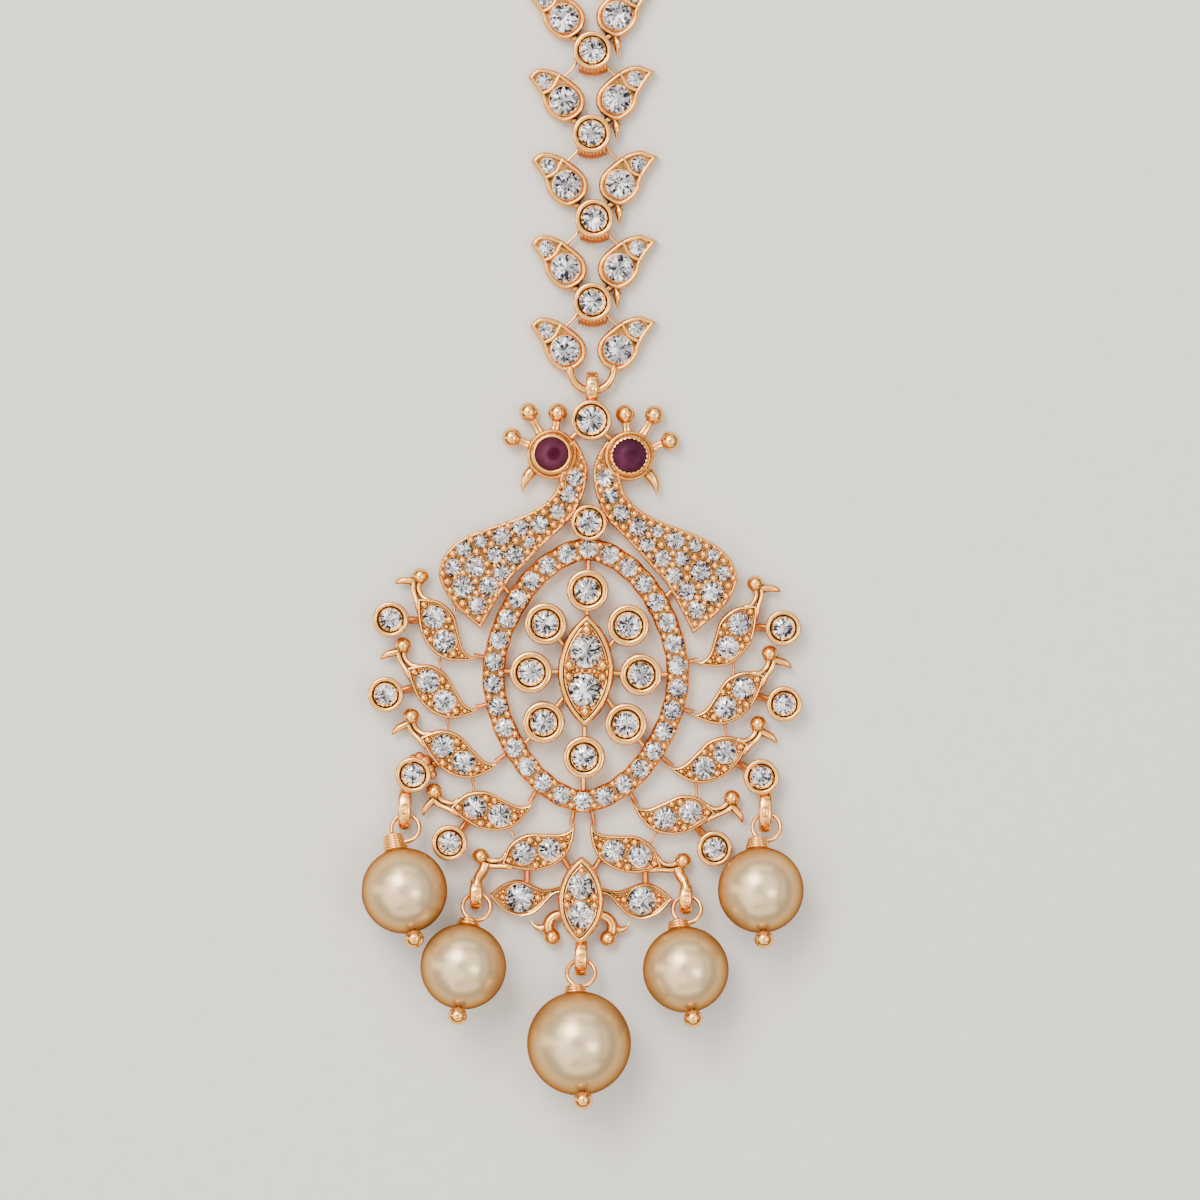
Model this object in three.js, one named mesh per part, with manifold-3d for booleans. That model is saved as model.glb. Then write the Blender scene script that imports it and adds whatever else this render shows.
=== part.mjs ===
// Maang tikka: a hair ornament of gold-coloured pierced work set with cut stones, on a chain
// of leaf-shaped links, with five pearls on headpins. It lies face up on a flat surface.
// Millimetres, +Z up, +Y towards the hair hook. The origin is the centre of the oval, on the
// flat underside.
import * as THREE from 'three';
import { mergeVertices } from 'three/addons/utils/BufferGeometryUtils.js';
import Module from 'manifold-3d';

const wasm = await Module();
wasm.setup();

// Oval ring of small stones
const OVAL_HALF_WIDTH = 6.6;
const OVAL_HALF_HEIGHT = 9.0;
const OVAL_ROUNDNESS = 1.75;      // 2 is an ellipse, less is more pointed
const OVAL_STONES = 30;
const BAND_WIDTH = 1.64;
const BAND_HEIGHT = 1.35;
const BAND_STONE = 1.42;

// Small cut stones fused into the sheet around them
const PAVE_RISE = 0.45;
const PAVE_SUNK = 0.25;
const TABLE_SHARE = 0.58;         // width of a stone's table as a share of the stone
const CULET_SHARE = 0.5;          // the same of its flat underside

// Round settings: cups with a flat rim, each holding one cut stone
const SETTING_HEIGHT = 1.85;
const SEAT_DEPTH = 0.95;
const SEAT_CLEARANCE = 0.1;
const STONE_PROUD = 0.15;
const OVAL_STONE = 1.86;
const OVAL_WALL = 0.45;
const SIDE_STONE = 1.64;
const SIDE_WALL = 0.33;
const TOP_STONE = 2.07;
const MIDDLE_STONE = 1.79;
const HEAD_WALL = 0.27;
const SOLDER = 0.26;              // how far soldered neighbours run into each other

// Marquise settings: one in the oval, one below it
const MARQUISE_LENGTH = 8.1;
const MARQUISE_WIDTH = 4.0;
const MARQUISE_LIFT = 0.32;       // of its middle above the oval's centre
const MARQUISE_STONE = 2.4;
const MARQUISE_HEIGHT = 1.8;
const MARQUISE_RIM = 0.34;
const MARQUISE_SUNK = 0.3;        // of the floor below the rim
const STONE_SHIFT = 0.172;        // of a stone from the middle, as a share of the length
const LOW_MARQUISE_LENGTH = 6.35;
const LOW_MARQUISE_WIDTH = 3.3;
const LOW_MARQUISE_DROP = 3.07;   // from the oval's band to its upper tip
const LOW_STONE = 2.02;
const LOW_WALL = 0.2;

// Leaves around the oval, each ending in a small bird's head
const LEAF_LENGTH = 5.65;
const LEAF_WIDTH = 2.7;
const LEAF_STONE = 1.66;
const HEAD_BALL = 1.2;
const SMALL_LEAF_LENGTH = 5.0;
const SMALL_LEAF_WIDTH = 2.6;
const CURL_SIZE = 2.3;

// Sheet metal of the leaves and birds, with a raised rim
const SHEET = 1.05;
const RIM_WIDTH = 0.3;
const RIM_RISE = 0.3;

// The two large birds
const BIRD_WIDTH = 10.65;
const BIRD_HEIGHT = 13.65;
const BIRD_SHEET = 1.25;
const BIRD_STONE = 1.25;
const EYE_STONE = 2.36;
const EYE_DOME = 1.05;
const EYE_WALL = 0.17;
const EYE_COLLAR = 0.35;
const CREST_BALL = 1.34;

// Solder bars between neighbouring pieces of the frame
const BAR_WIDTH = 0.5;
const BAR_LOW = 0.15;
const BAR_HIGH = 0.85;

// Bails: flat straps bent to an oval and standing on edge
const BAIL_WIDTH = 0.88;
const BAIL_STRAP = 0.4;
const BAIL_HEIGHT = 1.9;
const BAIL_LENGTH = 3.0;
const SHORT_BAIL_LENGTH = 2.3;
const BOTTOM_BAIL_LENGTH = 2.6;
const BAIL_NECK = 0.8;            // width of the bar that carries a bail under a leaf's head

// Pearls and their headpins
const SMALL_PEARL = 6.12;
const LARGE_PEARL = 7.4;
const PIN_WIRE = 0.32;
const PIN_CLEARANCE = 0.12;
const PIN_BALL = 1.26;
const LOOP_RADIUS = 1.0;
const LOOP_REACH = 1.25;          // from the pearl to the middle of the loop
const CAP_WIDTH = 1.1;
const CAP_HEIGHT = 0.36;

// Chain links: a pair of leaves, a round setting and a wire arch
const LINK_PITCH = 5.93;
const LINK_SETTING_DROP = 2.45;   // from the pair's middle to the setting's
const PAIR_SPREAD = 1.9;          // from the link's middle to a large stone
const LINK_LEAF = 3.95;
const LINK_SHEET = 0.95;
const LINK_LARGE_STONE = 2.15;
const LINK_SMALL_STONE = 1.15;
const LINK_STONE = 1.84;
const LINK_WALL = 0.34;
const LINK_SETTING_LOW = 0.98;
const LINK_SETTING_HEIGHT = 1.05;
const ARCH_WIRE = 0.2;
const ARCH_LEVEL = 0.7;
const ARCH_WIDTH = 2.5;
const CLAW_WIDTH = 1.6;
const CLAW_STRIP = 0.22;
const HALF_RING_WIRE = 0.6;
const HALF_RING_RADIUS = 1.55;

// Jump ring and hair hook
const JUMP_RADIUS = 1.15;
const JUMP_WIRE = 0.4;
const JUMP_SHIFT = 0.35;          // of its middle beyond the last arch
const JUMP_LIFT = 1.35;
const HOOK_WIRE = 0.6;
const HOOK_EYE_RADIUS = 1.1;
const HOOK_LENGTH = 10.5;
const HOOK_BEND_RADIUS = 1.6;
const HOOK_RETURN = 6.5;
const HOOK_SHIFT = 0.7;           // of its eye's near side beyond the last arch
const HOOK_LEVEL = 0.9;

const SETTING_SIDES = 10;
const STONE_SIDES = 8;
const BALL_SIDES = 8;

const gold = { color: 0xd9a066, roughness: 0.28, metalness: 1 };
const clear = { color: 0xdfe0ea, roughness: 0.05, metalness: 0.1 };
const red = { color: 0x7a2450, roughness: 0.12, metalness: 0 };
const cream = { color: 0xe3c9a4, roughness: 0.25, metalness: 0 };

const radians = THREE.MathUtils.degToRad;
const spot = (x, y) => new THREE.Vector2(x, y);
const sides = [['left', -1], ['right', 1]];

// Makes a solid of a closed geometry, without the empty triangles at a lathe's poles
function solid(geometry) {
  geometry.deleteAttribute('normal');
  geometry.deleteAttribute('uv');
  const merged = mergeVertices(geometry, 1e-4);
  const corners = Array.from(merged.index.array);
  const kept = [];
  for (let i = 0; i < corners.length; i += 3) {
    const [a, b, c] = corners.slice(i, i + 3);
    if (a !== b && b !== c && c !== a) {
      kept.push(a, b, c);
    }
  }
  const mesh = new wasm.Mesh({
    numProp: 3,
    vertProperties: merged.attributes.position.array,
    triVerts: Uint32Array.from(kept),
  });
  return new wasm.Manifold(mesh);
}

function geometryOf(body) {
  const mesh = body.getMesh();
  const geometry = new THREE.BufferGeometry();
  geometry.setAttribute('position', new THREE.BufferAttribute(mesh.vertProperties, 3));
  geometry.setIndex(new THREE.BufferAttribute(mesh.triVerts, 1));
  geometry.computeVertexNormals();
  return geometry;
}

const joined = (bodies) => bodies.reduce((whole, body) => whole.add(body));

// A profile of [radius, height] pairs, listed upwards along its outside, turned round Z
function turned(profile, count) {
  const points = profile.map(([radius, height]) => spot(radius, height));
  return new THREE.LatheGeometry(points, count).rotateX(Math.PI / 2);
}

function slab(outline, low, high) {
  const shape = new THREE.Shape(outline);
  const geometry = new THREE.ExtrudeGeometry(shape, { depth: high - low, bevelEnabled: false });
  return geometry.translate(0, 0, low);
}

// A slab with a hole right through it
const piercedSlab = (outline, hole, low, high) =>
  solid(slab(outline, low, high)).subtract(solid(slab(hole, low - 1, high + 1)));

// A round wire through flat points [x, y] at one height
function flatWire(points, height, thickness, steps, count) {
  const path = points.map(([x, y]) => new THREE.Vector3(x, y, height));
  const curve = new THREE.CatmullRomCurve3(path, false, 'centripetal');
  const section = [];
  for (let i = 0; i < count; i += 1) {
    const angle = (i / count) * 2 * Math.PI;
    section.push(spot(Math.cos(angle), Math.sin(angle)).multiplyScalar(thickness / 2));
  }
  const options = { steps, bevelEnabled: false, extrudePath: curve };
  return solid(new THREE.ExtrudeGeometry(new THREE.Shape(section), options));
}

// Points at even steps of a smooth line through flat points [x, y]
const smooth = (rows, steps) =>
  new THREE.SplineCurve(rows.map(([x, y]) => spot(x, y))).getPoints(steps);

function ball(at, diameter, height) {
  const geometry = new THREE.SphereGeometry(diameter / 2, BALL_SIDES, BALL_SIDES / 2);
  return solid(geometry.rotateX(Math.PI / 2).translate(at.x, at.y, height));
}

// An outline moved inwards, square to its edge, by one distance all round
function inset(outline, distance) {
  const inwards = THREE.ShapeUtils.area(outline) > 0 ? distance : -distance;
  return outline.map((here, i) => {
    const before = here.clone().sub(outline.at(i - 1)).normalize();
    const after = outline[(i + 1) % outline.length].clone().sub(here).normalize();
    const normal = spot(-before.y - after.y, before.x + after.x).normalize();
    const lean = Math.max(0.6, normal.dot(spot(-after.y, after.x)));
    return here.clone().addScaledVector(normal, inwards / lean);
  });
}

// A straight solder bar between two points of the frame
function bar(from, to, width = BAR_WIDTH, low = BAR_LOW, high = BAR_HIGH) {
  const along = to.clone().sub(from);
  const middle = from.clone().lerp(to, 0.5);
  const box = new THREE.BoxGeometry(along.length(), width, high - low);
  return solid(box.rotateZ(along.angle()).translate(middle.x, middle.y, (low + high) / 2));
}

// A small stone fused into sheet metal: a table and eight facets
function paveStone(at, diameter, sheetTop) {
  const radius = diameter / 2;
  const foot = sheetTop - PAVE_SUNK;
  const table = sheetTop + PAVE_RISE;
  const profile = [[0, foot], [radius, foot], [radius * TABLE_SHARE, table], [0, table]];
  return solid(turned(profile, STONE_SIDES).translate(at.x, at.y, 0));
}

const seatRadius = (stone) => (stone / 2 + SEAT_CLEARANCE) / Math.cos(Math.PI / SETTING_SIDES);

function seatHole(at, stone, top) {
  const radius = seatRadius(stone);
  const foot = top - SEAT_DEPTH;
  const profile = [[0, foot], [radius, foot], [radius, top + 1], [0, top + 1]];
  return solid(turned(profile, SETTING_SIDES).translate(at.x, at.y, 0));
}

// A cup with a seat for one stone
function cup(at, stone, wall, low = 0, height = SETTING_HEIGHT, depth = SEAT_DEPTH) {
  const seat = seatRadius(stone);
  const outer = seat + wall;
  const high = low + height;
  const floor = high - depth;
  const profile = [[0, low], [outer, low], [outer, high], [seat, high], [seat, floor], [0, floor]];
  return solid(turned(profile, SETTING_SIDES).translate(at.x, at.y, 0));
}

// A loose cut stone: eight pavilion facets, eight crown facets and a table
function cutStone(diameter, low, high) {
  const radius = diameter / 2;
  const girdle = low + (high - low) * 0.5;
  const table = radius * TABLE_SHARE;
  const profile = [[0, low], [radius * CULET_SHARE, low], [radius, girdle], [table, high], [0, high]];
  return solid(turned(profile, STONE_SIDES));
}

// A plate with a raised rim round a sunk floor
function rimmedPlate(outline, sheet, rimWidth = RIM_WIDTH, rimRise = RIM_RISE) {
  const plate = solid(slab(outline, 0, sheet + rimRise));
  return plate.subtract(solid(slab(inset(outline, rimWidth), sheet, sheet + 2 * rimRise)));
}

// A strap bent to an oval, standing on edge along Y, from its near end at the given point
function bail(from, length) {
  const middleY = from.y - length / 2;
  const outer = new THREE.Shape().absellipse(0, 0, length / 2, BAIL_HEIGHT / 2, 0, 2 * Math.PI);
  const hole = [length / 2 - BAIL_STRAP, BAIL_HEIGHT / 2 - BAIL_STRAP];
  const inner = new THREE.Shape().absellipse(0, 0, ...hole, 0, 2 * Math.PI);
  const strap = piercedSlab(outer.getPoints(5), inner.getPoints(4), -BAIL_WIDTH / 2, BAIL_WIDTH / 2);
  return strap.rotate([90, 0, 90]).translate([from.x, middleY, BAIL_HEIGHT / 2]);
}

// A closed outline of two mirrored arcs that meet in points up and down
function marquiseOutline(length, width, steps = 6) {
  const arcRadius = (length ** 2 + width ** 2) / (4 * width);
  const reach = Math.asin(length / 2 / arcRadius);
  const outline = [];
  for (const side of [1, -1]) {
    for (let i = 0; i < steps; i += 1) {
      const angle = side * reach * ((2 * i) / steps - 1);
      const across = arcRadius * Math.cos(angle) - arcRadius + width / 2;
      outline.push(spot(side * across, arcRadius * Math.sin(angle)));
    }
  }
  return outline;
}

// A point of the oval's middle line in a direction given in degrees from +X
function ovalPoint(bearing, outwards = 0) {
  const direction = spot(Math.cos(radians(bearing)), Math.sin(radians(bearing)));
  const across = Math.abs(direction.x / OVAL_HALF_WIDTH) ** OVAL_ROUNDNESS;
  const along = Math.abs(direction.y / OVAL_HALF_HEIGHT) ** OVAL_ROUNDNESS;
  return direction.multiplyScalar((across + along) ** (-1 / OVAL_ROUNDNESS) + outwards);
}

class OvalLine extends THREE.Curve {
  getPoint(share) {
    return ovalPoint(90 - 360 * share);
  }
}

const BAND_STEPS = 34;

function ovalBand() {
  const line = new OvalLine();
  const middle = line.getSpacedPoints(BAND_STEPS).slice(0, -1);
  const outer = inset(middle, -BAND_WIDTH / 2);
  const inner = inset(middle, BAND_WIDTH / 2);
  const places = line.getSpacedPoints(OVAL_STONES).slice(0, -1);
  const stones = places.map((at) => paveStone(at, BAND_STONE, BAND_HEIGHT));
  return [piercedSlab(outer, inner, 0, BAND_HEIGHT), ...stones];
}

// Round settings in the oval, placed by shares of its half width and half height
const OVAL_SETTINGS = [
  { name: 'top', across: 0, along: 0.67, toBand: true },
  { name: 'bottom', across: 0, along: -0.649, toBand: true },
  { name: 'upper', across: 0.447, along: 0.4, toBand: false },
  { name: 'middle', across: 0.594, along: 0.013, toBand: true },
  { name: 'lower', across: 0.444, along: -0.38, toBand: true },
];
const ovalSettings = OVAL_SETTINGS.flatMap((row) =>
  (row.across > 0 ? sides : [['middle', 1]]).map(([sideName, side]) => ({
    name: row.across > 0 ? `${row.name}_${sideName}` : row.name,
    at: spot(side * row.across * OVAL_HALF_WIDTH, row.along * OVAL_HALF_HEIGHT),
    toBand: row.toBand,
  })));

const marquiseMiddle = spot(0, MARQUISE_LIFT);
const INWARD_BAR = 0.62;          // length of a bar inwards, as a share of the way to the marquise

function marquiseAt(length, width, at) {
  return marquiseOutline(length, width).map((corner) => corner.add(at));
}

const marquiseStonePlaces = (at, length) => {
  const shift = STONE_SHIFT * length;
  return [['upper', spot(at.x, at.y + shift)], ['lower', spot(at.x, at.y - shift)]];
};

// A marquise setting: a raised rim, a sunk floor and two seats
function marquise(length, width, at, stone) {
  const floor = MARQUISE_HEIGHT - MARQUISE_SUNK;
  let body = rimmedPlate(marquiseAt(length, width, at), floor, MARQUISE_RIM, MARQUISE_SUNK);
  for (const [, place] of marquiseStonePlaces(at, length)) {
    body = body.subtract(seatHole(place, stone, MARQUISE_HEIGHT));
  }
  return body;
}

function ovalPieces() {
  const middle = marquise(MARQUISE_LENGTH, MARQUISE_WIDTH, marquiseMiddle, MARQUISE_STONE);
  const pieces = [...ovalBand(), middle];
  for (const { at, toBand } of ovalSettings) {
    pieces.push(cup(at, OVAL_STONE, OVAL_WALL));
    pieces.push(bar(at, at.clone().lerp(marquiseMiddle, INWARD_BAR)));
    if (toBand) {
      pieces.push(bar(at, ovalPoint((at.angle() * 180) / Math.PI)));
    }
  }
  return pieces;
}

// The two large birds: outline and stones as shares of the bird's width and height,
// measured from the setting between them
const BIRD_FRONT = [
  [0.107, 0.433], [0.05, 0.36], [0.019, 0.277], [0.033, 0.172], [0.07, 0.09], [0.13, 0.01],
  [0.2, -0.045], [0.319, -0.131], [0.457, -0.238], [0.53, -0.3], [0.6, -0.393], [0.66, -0.48],
  [0.716, -0.567],
];
const BIRD_BACK = [
  [0.716, -0.567], [0.8, -0.51], [0.9, -0.435], [0.975, -0.35], [1.0, -0.265], [0.955, -0.175],
  [0.85, -0.098], [0.73, -0.054], [0.577, -0.01], [0.445, 0.029], [0.332, 0.078], [0.24, 0.153],
  [0.197, 0.26],
];
const BIRD_STONES = [
  { across: 0.098, along: 0.234, left: 0.97, right: 1.0 },
  { across: 0.141, along: 0.144, left: 0.97, right: 0.86 },
  { across: 0.213, along: 0.051, left: 0.86, right: 0.97 },
  { across: 0.331, along: -0.017, left: 1.0, right: 1.06 },
  { across: 0.458, along: -0.037, left: 0.97, right: 0.76 },
  { across: 0.396, along: -0.11, left: 0.68, right: 0.91 },
  { across: 0.58, along: -0.081, left: 1.03, right: 1.06 },
  { across: 0.716, along: -0.108, left: 0.8, right: 0.76 },
  { across: 0.834, along: -0.153, left: 0.91, right: 0.8 },
  { across: 0.627, along: -0.183, left: 1.0, right: 0.83 },
  { across: 0.493, along: -0.18, left: 1.09, right: 0.97 },
  { across: 0.906, along: -0.251, left: 1.03, right: 0.86 },
  { across: 0.755, along: -0.243, left: 1.14, right: 1.17 },
  { across: 0.565, along: -0.273, left: 1.0, right: 0.97 },
  { across: 0.835, along: -0.352, left: 1.23, right: 1.29 },
  { across: 0.662, along: -0.348, left: 1.11, right: 1.03 },
  { across: 0.734, along: -0.445, left: 1.03, right: 1.03 },
];
// Crest balls round the head: direction in degrees and length of stalk in ball widths
const CREST = [
  { bearing: 20.6, stalk: 1.05 },
  { bearing: 57.3, stalk: 1.3 },
  { bearing: 94.3, stalk: 1.0 },
];
const CREST_STEM = { width: 0.45, low: 0.4, high: 1.1 };
const BALL_LEVEL = 0.62;          // of a ball's middle above the underside, as a share of the ball
// The beak as shares of the eye collar's radius, from the eye's middle
const BEAK = [
  [0.8, -0.4], [1.03, -0.46], [1.13, -1.06], [1.05, -1.51], [0.93, -1.18], [0.59, -0.93], [0.5, -0.7],
];
const BEAK_LOW = 0.3;
const BEAK_HIGH = 1.2;

const middleRadius = seatRadius(MIDDLE_STONE) + HEAD_WALL;
const topRadius = seatRadius(TOP_STONE) + HEAD_WALL;
const middleSetting = spot(0, OVAL_HALF_HEIGHT + BAND_WIDTH / 2 + middleRadius - SOLDER);
const topSetting = spot(0, middleSetting.y + 0.534 * BIRD_HEIGHT);
const EYE_SHARES = [0.26, 0.353];
const EYE_SIDES = 12;
const eyeSeat = (EYE_STONE / 2 + SEAT_CLEARANCE) / Math.cos(Math.PI / EYE_SIDES);
const eyeRadius = eyeSeat + EYE_WALL + EYE_COLLAR;
const EYE_COLLAR_TOP = 1.5;
const EYE_RIM_TOP = 2.05;
const EYE_FLOOR = 1.2;

// Where solder bars meet a bird's breast and body, and the band's direction from the centre
const BREAST_JOINT = [0.2, 0.03];
const WING_JOINT = [0.61, -0.3];
const BAND_JOINT_BEARING = 45;

const onBird = (side, [across, along]) =>
  spot(side * across * BIRD_WIDTH, middleSetting.y + along * BIRD_HEIGHT);

function birdEye(at) {
  const rim = eyeSeat + EYE_WALL;
  const profile = [
    [0, 0], [eyeRadius, 0], [eyeRadius, EYE_COLLAR_TOP], [rim, EYE_COLLAR_TOP],
    [rim, EYE_RIM_TOP], [0, EYE_RIM_TOP],
  ];
  return solid(turned(profile, EYE_SIDES).translate(at.x, at.y, 0));
}

function eyeHole(at) {
  const over = EYE_RIM_TOP + 1;
  const profile = [[0, EYE_FLOOR], [eyeSeat, EYE_FLOOR], [eyeSeat, over], [0, over]];
  return solid(turned(profile, EYE_SIDES).translate(at.x, at.y, 0));
}

function crest(eye, side) {
  return CREST.flatMap(({ bearing, stalk }) => {
    const direction = spot(side * Math.cos(radians(bearing)), Math.sin(radians(bearing)));
    const tip = eye.clone().addScaledVector(direction, eyeRadius + stalk * CREST_BALL);
    const root = eye.clone().addScaledVector(direction, eyeRadius - SOLDER);
    const { width, low, high } = CREST_STEM;
    return [ball(tip, CREST_BALL, CREST_BALL * BALL_LEVEL), bar(root, tip, width, low, high)];
  });
}

function bird(sideName, side) {
  const shares = [...smooth(BIRD_FRONT, 13), ...smooth(BIRD_BACK, 13).slice(1)];
  const eye = onBird(side, EYE_SHARES);
  const outline = shares.map(({ x, y }) => onBird(side, [x, y]));
  outline.push(eye);
  const stones = BIRD_STONES.map((row) =>
    paveStone(onBird(side, [row.across, row.along]), row[sideName] * BIRD_STONE, BIRD_SHEET));
  const beak = BEAK.map(([x, y]) => spot(eye.x + side * x * eyeRadius, eye.y + y * eyeRadius));
  return [
    rimmedPlate(outline, BIRD_SHEET), ...stones, birdEye(eye), ...crest(eye, side),
    solid(slab(beak, BEAK_LOW, BEAK_HIGH)),
    bar(middleSetting, onBird(side, BREAST_JOINT)),
    bar(topSetting, eye),
    bar(ovalPoint(BAND_JOINT_BEARING).multiply(spot(side, 1)), onBird(side, WING_JOINT)),
  ];
}

// Leaves round the oval. Each tip meets the band in the given direction from the oval's
// centre; left and right are the places of its round setting on either side, as shares of
// the leaf's length from its middle
const LEAVES = [
  { bearing: 8.8, gap: 0.15, turn: -114.7, left: -0.363, right: -0.363, setting: true },
  { bearing: -18.3, gap: 0.17, turn: -130.3, left: -0.372, right: -0.36, setting: true },
  { bearing: -46.5, gap: 0.33, turn: -142.8, left: -0.241, right: -0.354, setting: true, bail: true },
  { bearing: -68.7, gap: 0.4, turn: -164.3, left: -0.342, right: -0.342, setting: true },
  { bearing: -86.6, gap: 0.49, turn: -189.4, left: 0, right: 0, setting: false },
];
const LEAF_INNER = [[-0.478, 0.204], [-0.336, -0.278], [-0.106, -0.5], [0.124, -0.444], [0.336, -0.389],
  [0.46, -0.481], [0.522, -0.722]];
const LEAF_OUTER = [[0.522, -0.722], [0.504, -0.333], [0.389, 0.148], [0.195, 0.426], [-0.053, 0.5],
  [-0.283, 0.389], [-0.478, 0.204]];
const LEAF_FLOOR = [[-0.38, 0.15], [-0.29, -0.18], [-0.1, -0.38], [0.33, -0.28], [0.43, -0.3],
  [0.33, 0.13], [0.17, 0.32], [-0.05, 0.385], [-0.26, 0.29]];
const LEAF_TIP = [0.522, -0.722];
const LEAF_BALL = [-0.726, -0.056];
const LEAF_BEAK = [[-0.425, 0.315], [-0.62, 0.315], [-0.681, 0.722], [-0.788, 0.444], [-0.735, 0.222],
  [-0.726, -0.1], [-0.56, 0.09], [-0.442, 0.019]];
const LEAF_NECK = [[-0.425, 0.315], [-0.7, 0.26], [-0.726, -0.1], [-0.56, 0.09], [-0.442, 0.019]];
const LEAF_STONE_PLACE = 0.168;
const LEAF_HEAD_LOW = 0.25;
const LEAF_HEAD_HIGH = 1.1;
const LEAF_TIP_JOINT = [0.47, -0.55];
const LEAF_TIP_BAR = 0.35;
const LEAF_SETTING_BAR = { aside: 0.12, out: 0.2, low: 0.3, high: 0.8 };

const sideRadius = seatRadius(SIDE_STONE) + SIDE_WALL;
const SIDE_SETTING_GAP = 0.27;

// Turns a leaf's own shares of length and width into a point of the frame
function leafPlacer({ bearing, gap, turn }, side) {
  const tip = ovalPoint(bearing, BAND_WIDTH / 2 + gap);
  const own = ([along, out]) =>
    spot(along * LEAF_LENGTH, out * LEAF_WIDTH).rotateAround(spot(0, 0), radians(turn));
  const middle = tip.sub(own(LEAF_TIP));
  return (shares) => own(shares).add(middle).multiply(spot(side, 1));
}

function sideSettingPlace(leaf, sideName, side) {
  const out = LEAF_WIDTH / 2 + SIDE_SETTING_GAP + sideRadius;
  return leafPlacer(leaf, side)([leaf[sideName], out / LEAF_WIDTH]);
}

function leafPieces(leaf, sideName, side) {
  const place = leafPlacer(leaf, side);
  const shares = [...smooth(LEAF_INNER, 6), ...smooth(LEAF_OUTER, 6).slice(1, -1)];
  const outline = shares.map(({ x, y }) => place([x, y]));
  const floor = solid(slab(LEAF_FLOOR.map(place), SHEET, SHEET + 2 * RIM_RISE));
  const head = leaf.setting ? LEAF_BEAK : LEAF_NECK;
  const pieces = [
    solid(slab(outline, 0, SHEET + RIM_RISE)).subtract(floor),
    paveStone(place([-LEAF_STONE_PLACE, 0]), LEAF_STONE, SHEET),
    paveStone(place([LEAF_STONE_PLACE, 0]), LEAF_STONE, SHEET),
    ball(place(LEAF_BALL), HEAD_BALL, HEAD_BALL * BALL_LEVEL),
    solid(slab(head.map(place), LEAF_HEAD_LOW, LEAF_HEAD_HIGH)),
    bar(place(LEAF_TIP_JOINT), ovalPoint(leaf.bearing).multiply(spot(side, 1)), LEAF_TIP_BAR),
  ];
  if (leaf.setting) {
    const at = sideSettingPlace(leaf, sideName, side);
    pieces.push(cup(at, SIDE_STONE, SIDE_WALL));
    const { aside, out, low, high } = LEAF_SETTING_BAR;
    pieces.push(bar(at, place([leaf[sideName] + aside, out]), BAR_WIDTH, low, high));
  }
  return pieces;
}

// The lower marquise with a small leaf and a curled head on each side
const lowTip = -OVAL_HALF_HEIGHT - BAND_WIDTH / 2 - LOW_MARQUISE_DROP;
const lowMarquise = spot(0, lowTip - LOW_MARQUISE_LENGTH / 2);
// The small leaf as shares of its length and width, from its stone
const SMALL_LEAF = [
  [0.426, 0.058], [0.244, 0.377], [0.024, 0.5], [-0.196, 0.377], [-0.376, 0.3], [-0.62, 0.358],
  [-0.58, 0.08], [-0.356, -0.2], [-0.156, -0.45], [0.044, -0.508], [0.264, -0.315],
];
const SMALL_LEAF_ROOT = 0.45;     // of the leaf, as a share of the marquise's width
const SMALL_LEAF_STONE = 0.576;   // of the stone from the root, as a share of the leaf's length
const SMALL_LEAF_RAISE = 0.09;
// The curl in its own size, from the marquise's side
const CURL = [
  [0, -0.28], [0.3, -0.36], [0.58, -0.56], [0.75, -0.72], [0.92, -0.72], [1.1, -0.56], [1.0, -0.85],
  [0.8, -0.97], [0.6, -0.93], [0.55, -1.1], [0.25, -1.15], [0.35, -0.85], [0.3, -0.68], [-0.02, -0.62],
];
// Where bars from the bottom leaves start, and how high on the marquise one ends
const STONE_JOINT = [0.1, 0.3];
const TIP_JOINT = [0.4, 0.1];
const TIP_JOINT_RISE = 0.3;
const CURL_ROOT = 0.43;           // of the curl, as a share of the marquise's width
const CURL_BALL_PLACE = [0.32, -1.2];
const CURL_BALL = HEAD_BALL * 0.95;
const CURL_LOW = 0.2;
const CURL_HIGH = 1.0;

function smallLeafStonePlace(side) {
  const across = SMALL_LEAF_ROOT * LOW_MARQUISE_WIDTH + SMALL_LEAF_STONE * SMALL_LEAF_LENGTH;
  return spot(side * across, lowMarquise.y + SMALL_LEAF_RAISE);
}

function lowerPieces() {
  const pieces = [marquise(LOW_MARQUISE_LENGTH, LOW_MARQUISE_WIDTH, lowMarquise, LOW_STONE)];
  for (const [, side] of sides) {
    const stone = smallLeafStonePlace(side);
    const outline = SMALL_LEAF.map(([x, y]) =>
      spot(stone.x + side * x * SMALL_LEAF_LENGTH, stone.y + y * SMALL_LEAF_WIDTH));
    const onCurl = ([x, y]) =>
      spot(side * (x * CURL_SIZE + CURL_ROOT * LOW_MARQUISE_WIDTH), lowMarquise.y + y * CURL_SIZE);
    const bottomLeaf = leafPlacer(LEAVES.at(-1), side);
    pieces.push(
      solid(slab(outline, 0, SHEET + RIM_RISE)).subtract(seatHole(stone, LOW_STONE, MARQUISE_HEIGHT)),
      cup(stone, LOW_STONE, LOW_WALL, 0, MARQUISE_HEIGHT),
      solid(slab(CURL.map(onCurl), CURL_LOW, CURL_HIGH)),
      ball(onCurl(CURL_BALL_PLACE), CURL_BALL, CURL_BALL * BALL_LEVEL),
      bar(bottomLeaf(STONE_JOINT), stone),
      bar(bottomLeaf(TIP_JOINT), spot(0, lowMarquise.y + TIP_JOINT_RISE * LOW_MARQUISE_LENGTH)),
    );
  }
  return pieces;
}

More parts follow.
